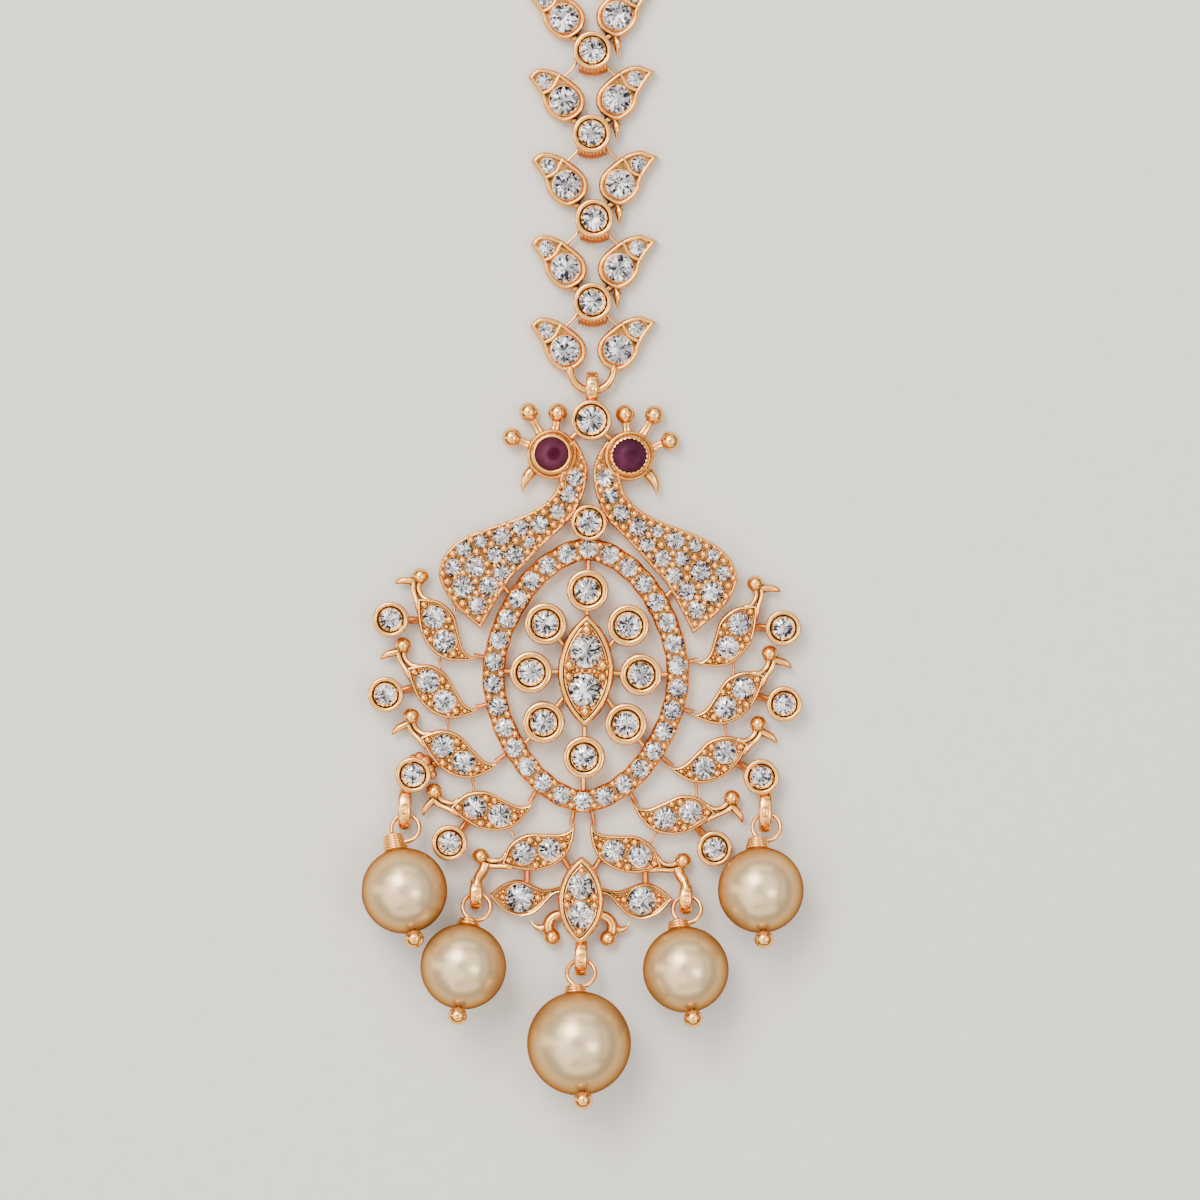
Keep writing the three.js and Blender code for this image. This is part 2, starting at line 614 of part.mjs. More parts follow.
// Bails hang from the top setting, two side settings, the bottom leaves' heads and the
// lower marquise; each is given by its far end
const BAIL_SHIFT = { left: -0.55, right: 0.35 };
const TIP_BAIL = { across: 0.1, overlap: 0.35 };
const LOW_BAIL_SHIFT = 0.2;

function bailPlaces() {
  const tip = spot(TIP_BAIL.across, lowMarquise.y - LOW_MARQUISE_LENGTH / 2 + TIP_BAIL.overlap);
  const places = { bottom: { from: tip, length: BOTTOM_BAIL_LENGTH } };
  const bailLeaf = LEAVES.find((leaf) => leaf.bail);
  for (const [sideName, side] of sides) {
    const setting = sideSettingPlace(bailLeaf, sideName, side);
    const head = leafPlacer(LEAVES.at(-1), side)(LEAF_BALL);
    const sideEnd = spot(setting.x + BAIL_SHIFT[sideName], setting.y - sideRadius + 1.2 * SOLDER);
    const lowEnd = spot(head.x + side * LOW_BAIL_SHIFT, head.y - HEAD_BALL - SOLDER);
    places[`side_${sideName}`] = { from: sideEnd, length: BAIL_LENGTH };
    places[`low_${sideName}`] = { from: lowEnd, length: SHORT_BAIL_LENGTH, head };
  }
  return places;
}

const bails = bailPlaces();
const topBailEnd = spot(0, topSetting.y + topRadius - SOLDER + SHORT_BAIL_LENGTH);

function bailPieces() {
  const pieces = [bail(topBailEnd, SHORT_BAIL_LENGTH)];
  for (const { from, length, head } of Object.values(bails)) {
    pieces.push(bail(from, length));
    if (head) {
      pieces.push(bar(head, spot(from.x, from.y - SOLDER), BAIL_NECK, LEAF_HEAD_LOW, LEAF_HEAD_HIGH));
    }
  }
  return pieces;
}

function pendantFrame() {
  const pieces = [...ovalPieces(), ...lowerPieces(), ...bailPieces()];
  pieces.push(cup(middleSetting, MIDDLE_STONE, HEAD_WALL), cup(topSetting, TOP_STONE, HEAD_WALL));
  pieces.push(bar(middleSetting, ovalPoint(90)));
  for (const [sideName, side] of sides) {
    pieces.push(...bird(sideName, side));
    for (const leaf of LEAVES) {
      pieces.push(...leafPieces(leaf, sideName, side));
    }
  }
  return sides.reduce((body, [, side]) => body.subtract(eyeHole(onBird(side, EYE_SHARES))), joined(pieces));
}

// Loose stones in their seats
function seatedStones() {
  const stones = ovalSettings.map(({ name, at }) => [`oval_stone_${name}`, at, OVAL_STONE, SETTING_HEIGHT]);
  const add = (name, at, diameter, top) => stones.push([name, at, diameter, top]);
  for (const [name, at] of marquiseStonePlaces(marquiseMiddle, MARQUISE_LENGTH)) {
    add(`marquise_stone_${name}`, at, MARQUISE_STONE, MARQUISE_HEIGHT);
  }
  for (const [name, at] of marquiseStonePlaces(lowMarquise, LOW_MARQUISE_LENGTH)) {
    add(`low_marquise_stone_${name}`, at, LOW_STONE, MARQUISE_HEIGHT);
  }
  add('middle_stone', middleSetting, MIDDLE_STONE, SETTING_HEIGHT);
  add('top_stone', topSetting, TOP_STONE, SETTING_HEIGHT);
  for (const [sideName, side] of sides) {
    add(`small_leaf_stone_${sideName}`, smallLeafStonePlace(side), LOW_STONE, MARQUISE_HEIGHT);
    LEAVES.filter(({ setting }) => setting).forEach((leaf, i) => {
      const at = sideSettingPlace(leaf, sideName, side);
      add(`side_stone_${sideName}_${i + 1}`, at, SIDE_STONE, SETTING_HEIGHT);
    });
  }
  return stones;
}

// A red domed stone with a flat back
function cabochon() {
  const radius = EYE_STONE / 2;
  const edge = EYE_DOME * 0.4;
  const profile = [[0, 0], [radius, 0], [radius, edge]];
  for (const angle of [30, 60, 90]) {
    const across = Math.max(0, radius * Math.cos(radians(angle)));
    profile.push([across, edge + (EYE_DOME - edge) * Math.sin(radians(angle))]);
  }
  return solid(turned(profile, EYE_SIDES));
}

// A drilled pearl; its hole runs along Y
const PEARL_SIDES = 12;
const PEARL_ROWS = 8;

function pearl(radius) {
  const hole = PIN_WIRE / 2 + PIN_CLEARANCE;
  const edge = Math.acos(hole / radius);
  const profile = [];
  for (let i = 0; i <= PEARL_ROWS; i += 1) {
    const angle = edge * ((2 * i) / PEARL_ROWS - 1);
    profile.push([radius * Math.cos(angle), radius * Math.sin(angle)]);
  }
  profile.push(profile[0]);
  return solid(turned(profile, PEARL_SIDES)).rotate([-90, 0, 0]);
}

// A headpin: ball, stem through the pearl, cap, wrapped neck and loop
function headpin(radius, aside, reach) {
  const stem = PIN_WIRE / 2;
  const ballRadius = PIN_BALL / 2;
  const gap = PIN_CLEARANCE;
  const ballMiddle = -radius - gap - ballRadius;
  const loopMeet = radius + reach - Math.sqrt(Math.max(0, LOOP_RADIUS ** 2 - aside ** 2));
  const profile = [[0, ballMiddle - ballRadius]];
  for (const angle of [-40, 20]) {
    const lean = radians(angle);
    profile.push([ballRadius * Math.cos(lean), ballMiddle + ballRadius * Math.sin(lean)]);
  }
  profile.push(
    [stem, ballMiddle + ballRadius * 0.9], [stem, radius + gap], [CAP_WIDTH / 2, radius + gap],
    [CAP_WIDTH / 2, radius + gap + CAP_HEIGHT * 0.6], [stem * 2, radius + gap + CAP_HEIGHT],
    [stem * 2, loopMeet], [0, loopMeet],
  );
  const pin = solid(turned(profile, STONE_SIDES)).rotate([-90, 0, 0]);
  const loop = new THREE.TorusGeometry(LOOP_RADIUS, PIN_WIRE / 2, 5, 11);
  return pin.add(solid(loop.translate(aside, radius + reach, 0)));
}

// Drops: where each loop sits from the end of its bail, how far its pearl hangs to the
// side of the loop's middle, and how it is turned
const DROPS = [
  { name: 'left_upper', bail: 'side_left', across: 0.1, up: 0.15, aside: 1.0, extra: 0.28, turn: 14 },
  { name: 'left_lower', bail: 'low_left', across: 0.05, up: 0.25, aside: 0.45, extra: 0.25, turn: -5 },
  { name: 'middle', bail: 'bottom', across: 0.03, up: 0.25, aside: 0.5, extra: 0.38, turn: 5.5 },
  { name: 'right_lower', bail: 'low_right', across: 0.1, up: 0.4, aside: 0.75, extra: 0.15, turn: 10 },
  { name: 'right_upper', bail: 'side_right', across: 0.1, up: 0.4, aside: 0.7, extra: 0.38, turn: 4.5 },
];

function drop(row) {
  const radius = (row.name === 'middle' ? LARGE_PEARL : SMALL_PEARL) / 2;
  const reach = LOOP_REACH + row.extra;
  const lift = Math.asin((radius - BAIL_HEIGHT / 2) / (radius + reach + LOOP_RADIUS));
  const { from, length } = bails[row.bail];
  const group = new THREE.Group();
  group.name = `drop_${row.name}`;
  const loopHeight = BAIL_HEIGHT / 2 + LOOP_RADIUS * Math.sin(lift);
  group.position.set(from.x + row.across, from.y - length + row.up, loopHeight);
  group.rotation.set(-lift, 0, radians(row.turn), 'ZXY');
  for (const piece of [
    part(`pearl_${row.name}`, pearl(radius), cream),
    part(`headpin_${row.name}`, headpin(radius, row.aside, reach), gold),
  ]) {
    piece.position.set(-row.aside, -radius - reach, 0);
    group.add(piece);
  }
  return group;
}

// A chain link's leaf as shares of its length, from its large stone, for the left side
const LINK_TIPS = { left: [-0.633, 0.443], right: [-0.7, 0.497] };
const LINK_OUTLINE = [
  [-0.542, 0.557], [-0.38, 0.608], [-0.091, 0.524], [0.253, 0.271], [0.38, 0.07],
  [0.36, -0.16], [0.22, -0.32], [0.0, -0.395], [-0.218, -0.289], [-0.36, -0.1], [-0.43, 0.127],
];
const LINK_SMALL_PLACE = [-0.337, 0.36];
const HALF_RING_DROP = 1.37;
const ARCH_RISE = 3.5;
const ARCH_CORNER = 0.35;
const ARCH_FOOT = [[-1.75, 1.5], [-1.45, 2.3]];

function linkLeaf(sideName, side) {
  const place = ([x, y]) => spot(side * (PAIR_SPREAD - x * LINK_LEAF), y * LINK_LEAF);
  return [
    solid(slab([LINK_TIPS[sideName], ...LINK_OUTLINE].map(place), 0, LINK_SHEET)),
    paveStone(place([0, 0]), LINK_LARGE_STONE, LINK_SHEET),
    paveStone(place(LINK_SMALL_PLACE), LINK_SMALL_STONE, LINK_SHEET),
  ];
}

// The wire arch at a link's upper end
function arch() {
  const half = ARCH_WIDTH / 2;
  const cut = 0.3 * ARCH_CORNER;
  const left = [
    ...ARCH_FOOT, [-half, ARCH_RISE - ARCH_CORNER], [cut - half, ARCH_RISE - cut],
    [ARCH_CORNER - half, ARCH_RISE],
  ];
  const points = [...left, ...left.map(([x, y]) => [-x, y]).reverse()];
  return flatWire(points, ARCH_LEVEL, ARCH_WIRE, 11, 5);
}

// The strip bent to a closed claw under a link's setting; the arch of the link below runs in it
const CLAW = { front: -1.65, back: 0.6, top: 1.1, cut: 0.3, roof: 0.16 };
const LINK_SEAT_DEPTH = 0.4;
// Bars from the setting to the leaves, and the tab that reaches the right leaf
const LINK_BAR = { across: 0.6, along: 0.5, leafEnd: -0.6, width: 0.45, low: 0.7, high: 1.2 };
const LINK_TAB = { corners: [[1.35, -1.5], [1.68, -2.6], [2.15, -1.45]], low: 0.5, high: 1.0 };

function claw() {
  const { front, back, top, cut, roof } = CLAW;
  const box = (grow, low, high) => [
    spot(front - grow + cut, low), spot(back + grow - cut, low), spot(back + grow, low + cut),
    spot(back + grow, high), spot(front - grow, high), spot(front - grow, low + cut),
  ];
  const hole = box(-CLAW_STRIP, CLAW_STRIP, top - roof);
  const strip = piercedSlab(box(0, 0, top), hole, -CLAW_WIDTH / 2, CLAW_WIDTH / 2);
  return strip.rotate([90, 0, 90]).translate([0, -LINK_SETTING_DROP, 0]);
}

function linkSetting() {
  const at = spot(0, -LINK_SETTING_DROP);
  const high = LINK_SETTING_LOW + LINK_SETTING_HEIGHT;
  const tab = LINK_TAB.corners.map(([x, y]) => spot(x, y));
  const pieces = [
    cup(at, LINK_STONE, LINK_WALL, LINK_SETTING_LOW, LINK_SETTING_HEIGHT, LINK_SEAT_DEPTH),
    paveStone(at, LINK_STONE, high - LINK_SEAT_DEPTH),
    claw(),
    solid(slab(tab, LINK_TAB.low, LINK_TAB.high)),
  ];
  const { across, along, leafEnd, width, low, high: top } = LINK_BAR;
  for (const [, side] of sides) {
    const start = spot(side * across, at.y + along);
    pieces.push(bar(start, spot(side * PAIR_SPREAD, leafEnd), width, low, top));
  }
  return pieces;
}

function halfRing() {
  const points = [];
  for (let angle = 180; angle <= 360; angle += 30) {
    const turn = radians(angle);
    points.push([HALF_RING_RADIUS * Math.cos(turn), HALF_RING_RADIUS * Math.sin(turn) - HALF_RING_DROP]);
  }
  return [flatWire(points, BAIL_HEIGHT / 2, HALF_RING_WIRE, 8, 6)];
}

// How each link lies: to the side, up from its even place, and turned
const LINKS = [
  { across: -0.08, up: 0, lean: 2 },
  { across: -0.175, up: -0.1, lean: 1.5 },
  { across: -0.215, up: -0.08, lean: 2.3 },
  { across: -0.56, up: 0.02, lean: 3 },
  { across: -0.67, up: 0, lean: 4 },
];
const HALF_RING_SLACK = 0.7;
const ringBottom = topBailEnd.y - BAIL_STRAP - HALF_RING_WIRE / 2 - HALF_RING_SLACK;
const firstLink = ringBottom + HALF_RING_RADIUS + HALF_RING_DROP;

function chainLink({ across, up, lean }, i) {
  const lower = i === 0 ? halfRing() : linkSetting();
  const leaves = sides.flatMap(([sideName, side]) => linkLeaf(sideName, side));
  const body = joined([...leaves, arch(), ...lower]);
  const link = part(`chain_link_${i + 1}`, body, gold);
  link.position.set(across, firstLink + i * LINK_PITCH + up, 0);
  link.rotation.z = radians(lean);
  return link;
}

function jumpRing() {
  const ring = new THREE.TorusGeometry(JUMP_RADIUS, JUMP_WIRE / 2, 6, 14);
  return solid(ring.rotateY(Math.PI / 2));
}

// A hair hook: an eye, a straight shank and a bend back, flat on the ground at its far end
function hairHook() {
  const start = HOOK_EYE_RADIUS;
  const end = start + HOOK_LENGTH - HOOK_BEND_RADIUS;
  const points = [[0, start], [0, start + (end - start) / 2], [0, end]];
  for (let angle = 150; angle > 0; angle -= 30) {
    const turn = radians(angle);
    points.push([HOOK_BEND_RADIUS * (1 + Math.cos(turn)), end + HOOK_BEND_RADIUS * Math.sin(turn)]);
  }
  for (const back of [0, HOOK_RETURN / 2, HOOK_RETURN]) {
    points.push([2 * HOOK_BEND_RADIUS, end - back]);
  }
  const eye = new THREE.TorusGeometry(HOOK_EYE_RADIUS, HOOK_WIRE / 2, 6, 12);
  return flatWire(points, 0, HOOK_WIRE, 20, 6).add(solid(eye));
}

function part(name, body, { color, roughness, metalness }) {
  const material = new THREE.MeshStandardMaterial({ color, roughness, metalness });
  const mesh = new THREE.Mesh(geometryOf(body), material);
  mesh.name = name;
  return mesh;
}

const ornament = new THREE.Group();
ornament.name = 'maang_tikka';
ornament.add(part('pendant_frame', pendantFrame(), gold));

for (const [name, at, diameter, top] of seatedStones()) {
  const low = top - SEAT_DEPTH + 0.05;
  const stone = part(name, cutStone(diameter, 0, top + STONE_PROUD - low), clear);
  stone.position.set(at.x, at.y, low);
  ornament.add(stone);
}
for (const [sideName, side] of sides) {
  const eye = part(`ruby_${sideName}`, cabochon(), red);
  const at = onBird(side, EYE_SHARES);
  eye.position.set(at.x, at.y, EYE_FLOOR + 0.05);
  ornament.add(eye);
}
for (const row of DROPS) {
  ornament.add(drop(row));
}
LINKS.forEach((row, i) => ornament.add(chainLink(row, i)));

const lastLink = LINKS.at(-1);
const lastLean = radians(lastLink.lean);
const lastArch = spot(0, ARCH_RISE).rotateAround(spot(0, 0), lastLean);
lastArch.add(spot(lastLink.across, firstLink + (LINKS.length - 1) * LINK_PITCH + lastLink.up));
const jump = part('jump_ring', jumpRing(), gold);
jump.position.set(lastArch.x, lastArch.y + JUMP_SHIFT, JUMP_LIFT);
ornament.add(jump);

const hook = part('hair_hook', hairHook(), gold);
const hookReach = 2 * HOOK_EYE_RADIUS + HOOK_LENGTH;
const hookDip = Math.asin((HOOK_LEVEL - HOOK_WIRE / 2) / hookReach);
const eyeDip = HOOK_EYE_RADIUS * Math.sin(hookDip);
hook.position.set(lastArch.x, lastArch.y + HOOK_SHIFT + HOOK_EYE_RADIUS, HOOK_LEVEL - eyeDip);
hook.rotation.x = -hookDip;
ornament.add(hook);

export default ornament;
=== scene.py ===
import math

import bmesh
import bpy
import numpy as np
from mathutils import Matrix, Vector, kdtree, noise


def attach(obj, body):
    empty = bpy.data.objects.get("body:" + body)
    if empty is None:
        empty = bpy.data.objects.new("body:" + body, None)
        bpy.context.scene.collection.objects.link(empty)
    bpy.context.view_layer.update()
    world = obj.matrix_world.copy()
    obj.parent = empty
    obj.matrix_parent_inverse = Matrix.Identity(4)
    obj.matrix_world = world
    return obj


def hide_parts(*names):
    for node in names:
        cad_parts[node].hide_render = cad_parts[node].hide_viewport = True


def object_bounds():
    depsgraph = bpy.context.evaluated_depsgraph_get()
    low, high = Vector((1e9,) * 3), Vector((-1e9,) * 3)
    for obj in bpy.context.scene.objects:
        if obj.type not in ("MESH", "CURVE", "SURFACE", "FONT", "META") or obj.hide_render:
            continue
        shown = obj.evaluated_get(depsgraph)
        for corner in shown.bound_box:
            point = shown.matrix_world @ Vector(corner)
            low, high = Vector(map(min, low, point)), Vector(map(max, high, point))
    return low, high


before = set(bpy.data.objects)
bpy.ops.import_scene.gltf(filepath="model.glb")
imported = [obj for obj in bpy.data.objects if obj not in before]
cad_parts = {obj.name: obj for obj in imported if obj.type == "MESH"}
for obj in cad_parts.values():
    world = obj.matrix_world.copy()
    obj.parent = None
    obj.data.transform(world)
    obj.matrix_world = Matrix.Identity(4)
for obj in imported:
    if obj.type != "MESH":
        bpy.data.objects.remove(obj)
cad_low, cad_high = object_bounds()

# Camera
# The ornament lies face up, seen from straight above through a long lens and turned a little in
# the picture. The chain runs out of the picture at the top.
MM = 0.001
PHOTO_WIDTH = 85.71 * MM          # of the flat area that the picture shows
PICTURE_MIDDLE = (0.894 * MM, 5.378 * MM)
PICTURE_TURN = 1.25               # degrees
LENS = 200.0
SENSOR = 36.0


def in_scene(name, data):
    thing = bpy.data.objects.new(name, data)
    bpy.context.scene.collection.objects.link(thing)
    return thing


lens = bpy.data.cameras.new("camera")
lens.lens = LENS
lens.sensor_width = SENSOR
lens.sensor_fit = "HORIZONTAL"
lens.clip_start = 0.01
lens.clip_end = 10
camera = in_scene("camera", lens)
camera.location = (*PICTURE_MIDDLE, PHOTO_WIDTH * LENS / SENSOR)
camera.rotation_euler = (0, 0, math.radians(PICTURE_TURN))
bpy.context.scene.camera = camera

# Floor: a sheet of uncoated card
# Pale warm grey board, pressed from pulp, which leaves it dull and faintly mottled.
FLOOR_HALF = 0.8                  # metres
PULP_CLUMP = 1.1111 * MM          # clumps of fibre in the card


def linear(hex_colour):
    """An sRGB colour such as "#c08040" as linear red, green, blue and full alpha"""
    shares = [int(hex_colour[i:i + 2], 16) / 255 for i in (1, 3, 5)]
    return [s / 12.92 if s <= 0.04045 else ((s + 0.055) / 1.055) ** 2.4 for s in shares] + [1]


def add_node(tree, kind, settings=None, links=None):
    """One node: its own settings, the values of its inputs, and what feeds them (a node's first output)"""
    node = tree.nodes.new(kind)
    for name, value in (settings or {}).items():
        if isinstance(name, str) and hasattr(node, name):
            setattr(node, name, value)
        else:
            node.inputs[name].default_value = value
    for name, source in (links or {}).items():
        if isinstance(source, bpy.types.Node):
            source = source.outputs[0]
        tree.links.new(source, node.inputs[name])
    return node


def new_material(name):
    material = bpy.data.materials.new(name)
    material.use_nodes = True
    material.node_tree.nodes.clear()
    return material, material.node_tree


def matte_card():
    """Paper: no gloss, and a slight mottle of two greys"""
    material, tree = new_material("matte_card")
    place = add_node(tree, "ShaderNodeTexCoord").outputs["Object"]
    clumps = add_node(tree, "ShaderNodeTexNoise", {"Scale": 1 / PULP_CLUMP, "Detail": 3.0}, {"Vector": place})
    tint = add_node(tree, "ShaderNodeMix", {"data_type": "RGBA", 6: linear("#c9c5bf"), 7: linear("#d0ccc6")},
                    {0: clumps})
    card = add_node(tree, "ShaderNodeBsdfPrincipled", {"Roughness": 0.75}, {"Base Color": tint.outputs[2]})
    add_node(tree, "ShaderNodeOutputMaterial", links={"Surface": card})
    return material


sheet = bpy.data.meshes.new("floor")
sheet.from_pydata([(x * FLOOR_HALF, y * FLOOR_HALF, 0) for x, y in ((-1, -1), (1, -1), (1, 1), (-1, 1))], [],
                  [(0, 1, 2, 3)])
sheet.materials.append(matte_card())
in_scene("floor", sheet)

# Lamps: soft boxes and a dim room
# Four panels lie round a narrow gap over the piece, which draws a darker line in the gold. Two small
# lamps make the highlights, and strips near the floor light the edges.
LAMPS = [
    # name, place in mm, width and length in mm, radiance, whether it is aimed at the piece or hangs level
    ("panel_back", (-198, 252, 430), 480, 420, 4.0, True), ("panel_right", (252, 198, 430), 420, 480, 1.9, False),
    ("panel_front", (198, -252, 430), 480, 420, 1.3, False), ("panel_left", (-252, -198, 430), 420, 480, 2.6, True),
    ("key", (-150, 230, 400), 200, 200, 14.0, True), ("second", (230, -60, 400), 120, 160, 9.0, True),
    ("low_strip", (40, -340, 200), 500, 120, 2.4, True), ("far_strip", (-380, 0, 200), 120, 500, 3.0, True),
    ("right_strip", (390, 40, 200), 120, 500, 1.8, False), ("back_strip", (0, 400, 200), 500, 120, 2.4, True),
]
for name, place, width, length, radiance, aimed in LAMPS:
    lamp = bpy.data.lights.new(name, "AREA")
    lamp.shape = "RECTANGLE"
    lamp.size = width * MM
    lamp.size_y = length * MM
    lamp.energy = radiance * math.pi * lamp.size * lamp.size_y
    lamp.color = (1.0, 0.97, 0.93)
    holder = in_scene(name, lamp)
    holder.location = [x * MM for x in place]
    if aimed:
        holder.rotation_euler = (-holder.location).to_track_quat("-Z", "Y").to_euler()
    holder.visible_camera = False


def dim_room():
    world = bpy.data.worlds.new("studio")
    world.use_nodes = True
    tree = world.node_tree
    tree.nodes.clear()
    place = add_node(tree, "ShaderNodeTexCoord")
    split = add_node(tree, "ShaderNodeSeparateXYZ", links={"Vector": place.outputs["Generated"]})
    shade = add_node(tree, "ShaderNodeMapRange", {"From Min": 0.0, "From Max": 1.0, "To Min": 0.16, "To Max": 0.26},
                     {"Value": split.outputs["Z"]})
    sky = add_node(tree, "ShaderNodeBackground", {"Color": linear("#efe9e2")}, {"Strength": shade})
    add_node(tree, "ShaderNodeOutputWorld", links={"Surface": sky})
    return world


bpy.context.scene.world = dim_room()

# Oval band: a ring with thirty stones
# Pierced from sheet, with its edges filed in small scallops that follow the stones. Two beads
# stand in each gap, one at each edge. The whole pendant is plated in rose gold once it is soldered.
OVAL_HALF_WIDTH = 6.6
OVAL_HALF_HEIGHT = 9.0
OVAL_ROUNDNESS = 1.75
OVAL_STONES = 30
BAND_WIDTH = 1.64
BAND_HEIGHT = 1.35
BAND_STONE = 1.42
BAND_RIM = [(0, 0.22), (0.04, 0.08), (0.1, 0.02), (0.15, 0.08), (0.19, 0.26)]     # inwards, below the top
BAND_BEAD = 0.27
BEAD_SPREAD = 0.5
FACETS_A_STONE = 10
WAVE = 1.1111 * MM                # a tumbled surface is uneven over about a millimetre
POLISH_MARK = 0.1923 * MM         # real ones are finer; these are as coarse as the render can show
DRIFT_REACH = 1.7                 # hand work strays over about this distance
GROOVE_REACH = 0.36 * MM          # metal that rises within this distance of a point gives it painted shade
WALL_SHADE = 0.35                 # share of painted shade on upright walls


def plated_gold(name, body, deep, painted_shade_tone, roughness, relief):
    """Cast metal, gold plated, tumbled and polished by hand: it shines softly, with a faint waviness
    and polishing marks, and is darker, with painted shade, and duller where its shade attribute says that it lies deep"""
    material, tree = new_material(name)
    place = add_node(tree, "ShaderNodeTexCoord").outputs["Object"]
    depth = add_node(tree, "ShaderNodeAttribute", {"attribute_name": "painted_shade"}).outputs["Fac"]
    wave = add_node(tree, "ShaderNodeTexNoise", {"Scale": 1 / WAVE, "Detail": 3.0}, {"Vector": place})
    marks = add_node(tree, "ShaderNodeTexNoise", {"Scale": 1 / POLISH_MARK, "Detail": 4.0}, {"Vector": place})
    tint = add_node(tree, "ShaderNodeMix", {"data_type": "RGBA", 6: linear(deep), 7: linear(body)}, {0: wave})
    # painted shade: the colour is multiplied towards the shade tone where the attribute is high
    shade = add_node(tree, "ShaderNodeMix", {"data_type": "RGBA", 6: linear("#ffffff"), 7: linear(painted_shade_tone)}, {0: depth})
    colour = add_node(tree, "ShaderNodeMix", {"data_type": "RGBA", "blend_type": "MULTIPLY", 0: 1.0},
                      {6: tint.outputs[2], 7: shade.outputs[2]})
    polish = add_node(tree, "ShaderNodeMapRange",
                      {"From Min": 0.3, "From Max": 0.7, "To Min": roughness * 0.8, "To Max": roughness * 1.3},
                      {"Value": marks})
    dull = add_node(tree, "ShaderNodeMath", {"operation": "MULTIPLY_ADD", 1: 0.16}, {0: depth, 2: polish})
    bumps = add_node(tree, "ShaderNodeBump", {"Strength": relief, "Distance": 0.04 * MM}, {"Height": wave})
    metal = add_node(tree, "ShaderNodeBsdfPrincipled", {"Metallic": 1.0},
                     {"Base Color": colour.outputs[2], "Roughness": dull, "Normal": bumps})
    add_node(tree, "ShaderNodeOutputMaterial", links={"Surface": metal})
    return material


# the body and deep tones of the plating, then the tone of its painted shade
rose_gold = plated_gold("rose_gold_plating", "#fcc070", "#f0a955", "#3c2a20", 0.19, 0.12)
noise.seed_set(1)                 # the drift of hand work is the same at every run


def mesh_of(name, shapes, drift=0.0):
    """Closed shells in mm as one mesh in metres. The points drift a little, as hand work does, doubled
    ones are merged, and all faces are turned outwards"""
    points, faces, start = [], [], 0
    for shape_points, shape_faces in shapes:
        points.append(np.asarray(shape_points, float))
        faces += [[i + start for i in face] for face in shape_faces]
        start += len(shape_points)
    points = np.vstack(points)
    if drift:
        points = np.array([p + drift * np.array(noise.noise_vector(Vector(p / DRIFT_REACH))) for p in points])
    mesh = bpy.data.meshes.new(name)
    mesh.from_pydata((points * MM).tolist(), [], faces)
    work = bmesh.new()
    work.from_mesh(mesh)
    bmesh.ops.remove_doubles(work, verts=work.verts, dist=0.0015 * MM)
    bmesh.ops.dissolve_degenerate(work, edges=work.edges, dist=0.0005 * MM)
    bmesh.ops.recalc_face_normals(work, faces=work.faces)
    work.to_mesh(mesh)
    work.free()
    return mesh


def keep_inside(mesh):
    """Holds a mesh within the outer sizes of the CAD model"""
    places = np.empty(3 * len(mesh.vertices), np.float32)
    mesh.vertices.foreach_get("co", places)
    places = np.clip(places.reshape(-1, 3), np.array(cad_low), np.array(cad_high))
    mesh.vertices.foreach_set("co", places.astype(np.float32).ravel())
    mesh.update()


def painted_shade_shares(mesh, shade_sunk_floors):
    """Share of painted shade from 0 to 1 for each point: high in grooves, at the foot of rims and on sunk floors, low
    on walls
    """
    tree = kdtree.KDTree(len(mesh.vertices))
    for vertex in mesh.vertices:
        tree.insert(vertex.co, vertex.index)
    tree.balance()
    shares = []
    for vertex in mesh.vertices:
        rise = 0.0
        for place, _, distance in tree.find_range(vertex.co, GROOVE_REACH):
            ahead = (place - vertex.co).dot(vertex.normal)
            if ahead > rise and distance * distance - ahead * ahead < (0.13 * MM) ** 2:
                rise = ahead
        # painted shade where metal rises just ahead of the point, and on upright walls
        share = max((rise / MM - 0.04) / 0.22, WALL_SHADE - 0.8 * abs(vertex.normal.z))
        # painted shade on sunk floors, by how far they lie below the metal round them
        if shade_sunk_floors and vertex.normal.z > 0.8:
            peak = max(place.z for place, _, _ in tree.find_range(vertex.co, 0.5 * MM))
            share = max(share, min(0.65, 2 * (peak - vertex.co.z) / MM - 0.2))
        shares.append(min(1.0, max(0.0, share)))
    return shares


def polished(mesh, sharp_from):
    """Shades a mesh smooth, except over edges with more than an angle in degrees"""
    mesh.shade_smooth()
    mesh.set_sharp_from_angle(angle=math.radians(sharp_from))


def object_of(name, shapes, material, sharp_from, drift=0.0, shade_sunk_floors=False):
    mesh = mesh_of(name, shapes, drift)
    keep_inside(mesh)
    # painted shade for each point, which the gold finishes read
    painted_shade = mesh.attributes.new("painted_shade", "FLOAT", "POINT")
    painted_shade.data.foreach_set("value", painted_shade_shares(mesh, shade_sunk_floors))
    mesh.materials.append(material)
    polished(mesh, sharp_from)
    return in_scene(name, mesh)


def seat_piece(piece, node="pendant_frame"):
    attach(piece, "root")
    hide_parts(node)


def frame_casting(name, shapes, sharp_from, drift, shade_sunk_floors=False):
    seat_piece(object_of(name, shapes, rose_gold, sharp_from, drift, shade_sunk_floors))


def ring_faces(rings, count, hoop=False):
    """Faces between rings of points. A hoop's last ring joins its first; otherwise both ends are closed"""
    total = rings * count
    faces = []
    for r in range(rings if hoop else rings - 1):
        for i in range(count):
            j = (i + 1) % count
            faces.append([k % total for k in (r * count + i, r * count + j, (r + 1) * count + j, (r + 1) * count + i)])
    if not hoop:
        faces += [list(range(count))[::-1], list(range(total - count, total))]
    return faces


def oval_point(bearing, outwards=0.0):
    turn = math.radians(bearing)
    across = abs(math.cos(turn) / OVAL_HALF_WIDTH) ** OVAL_ROUNDNESS
    along = abs(math.sin(turn) / OVAL_HALF_HEIGHT) ** OVAL_ROUNDNESS
    reach = (across + along) ** (-1 / OVAL_ROUNDNESS) + outwards
    return np.array([reach * math.cos(turn), reach * math.sin(turn)])


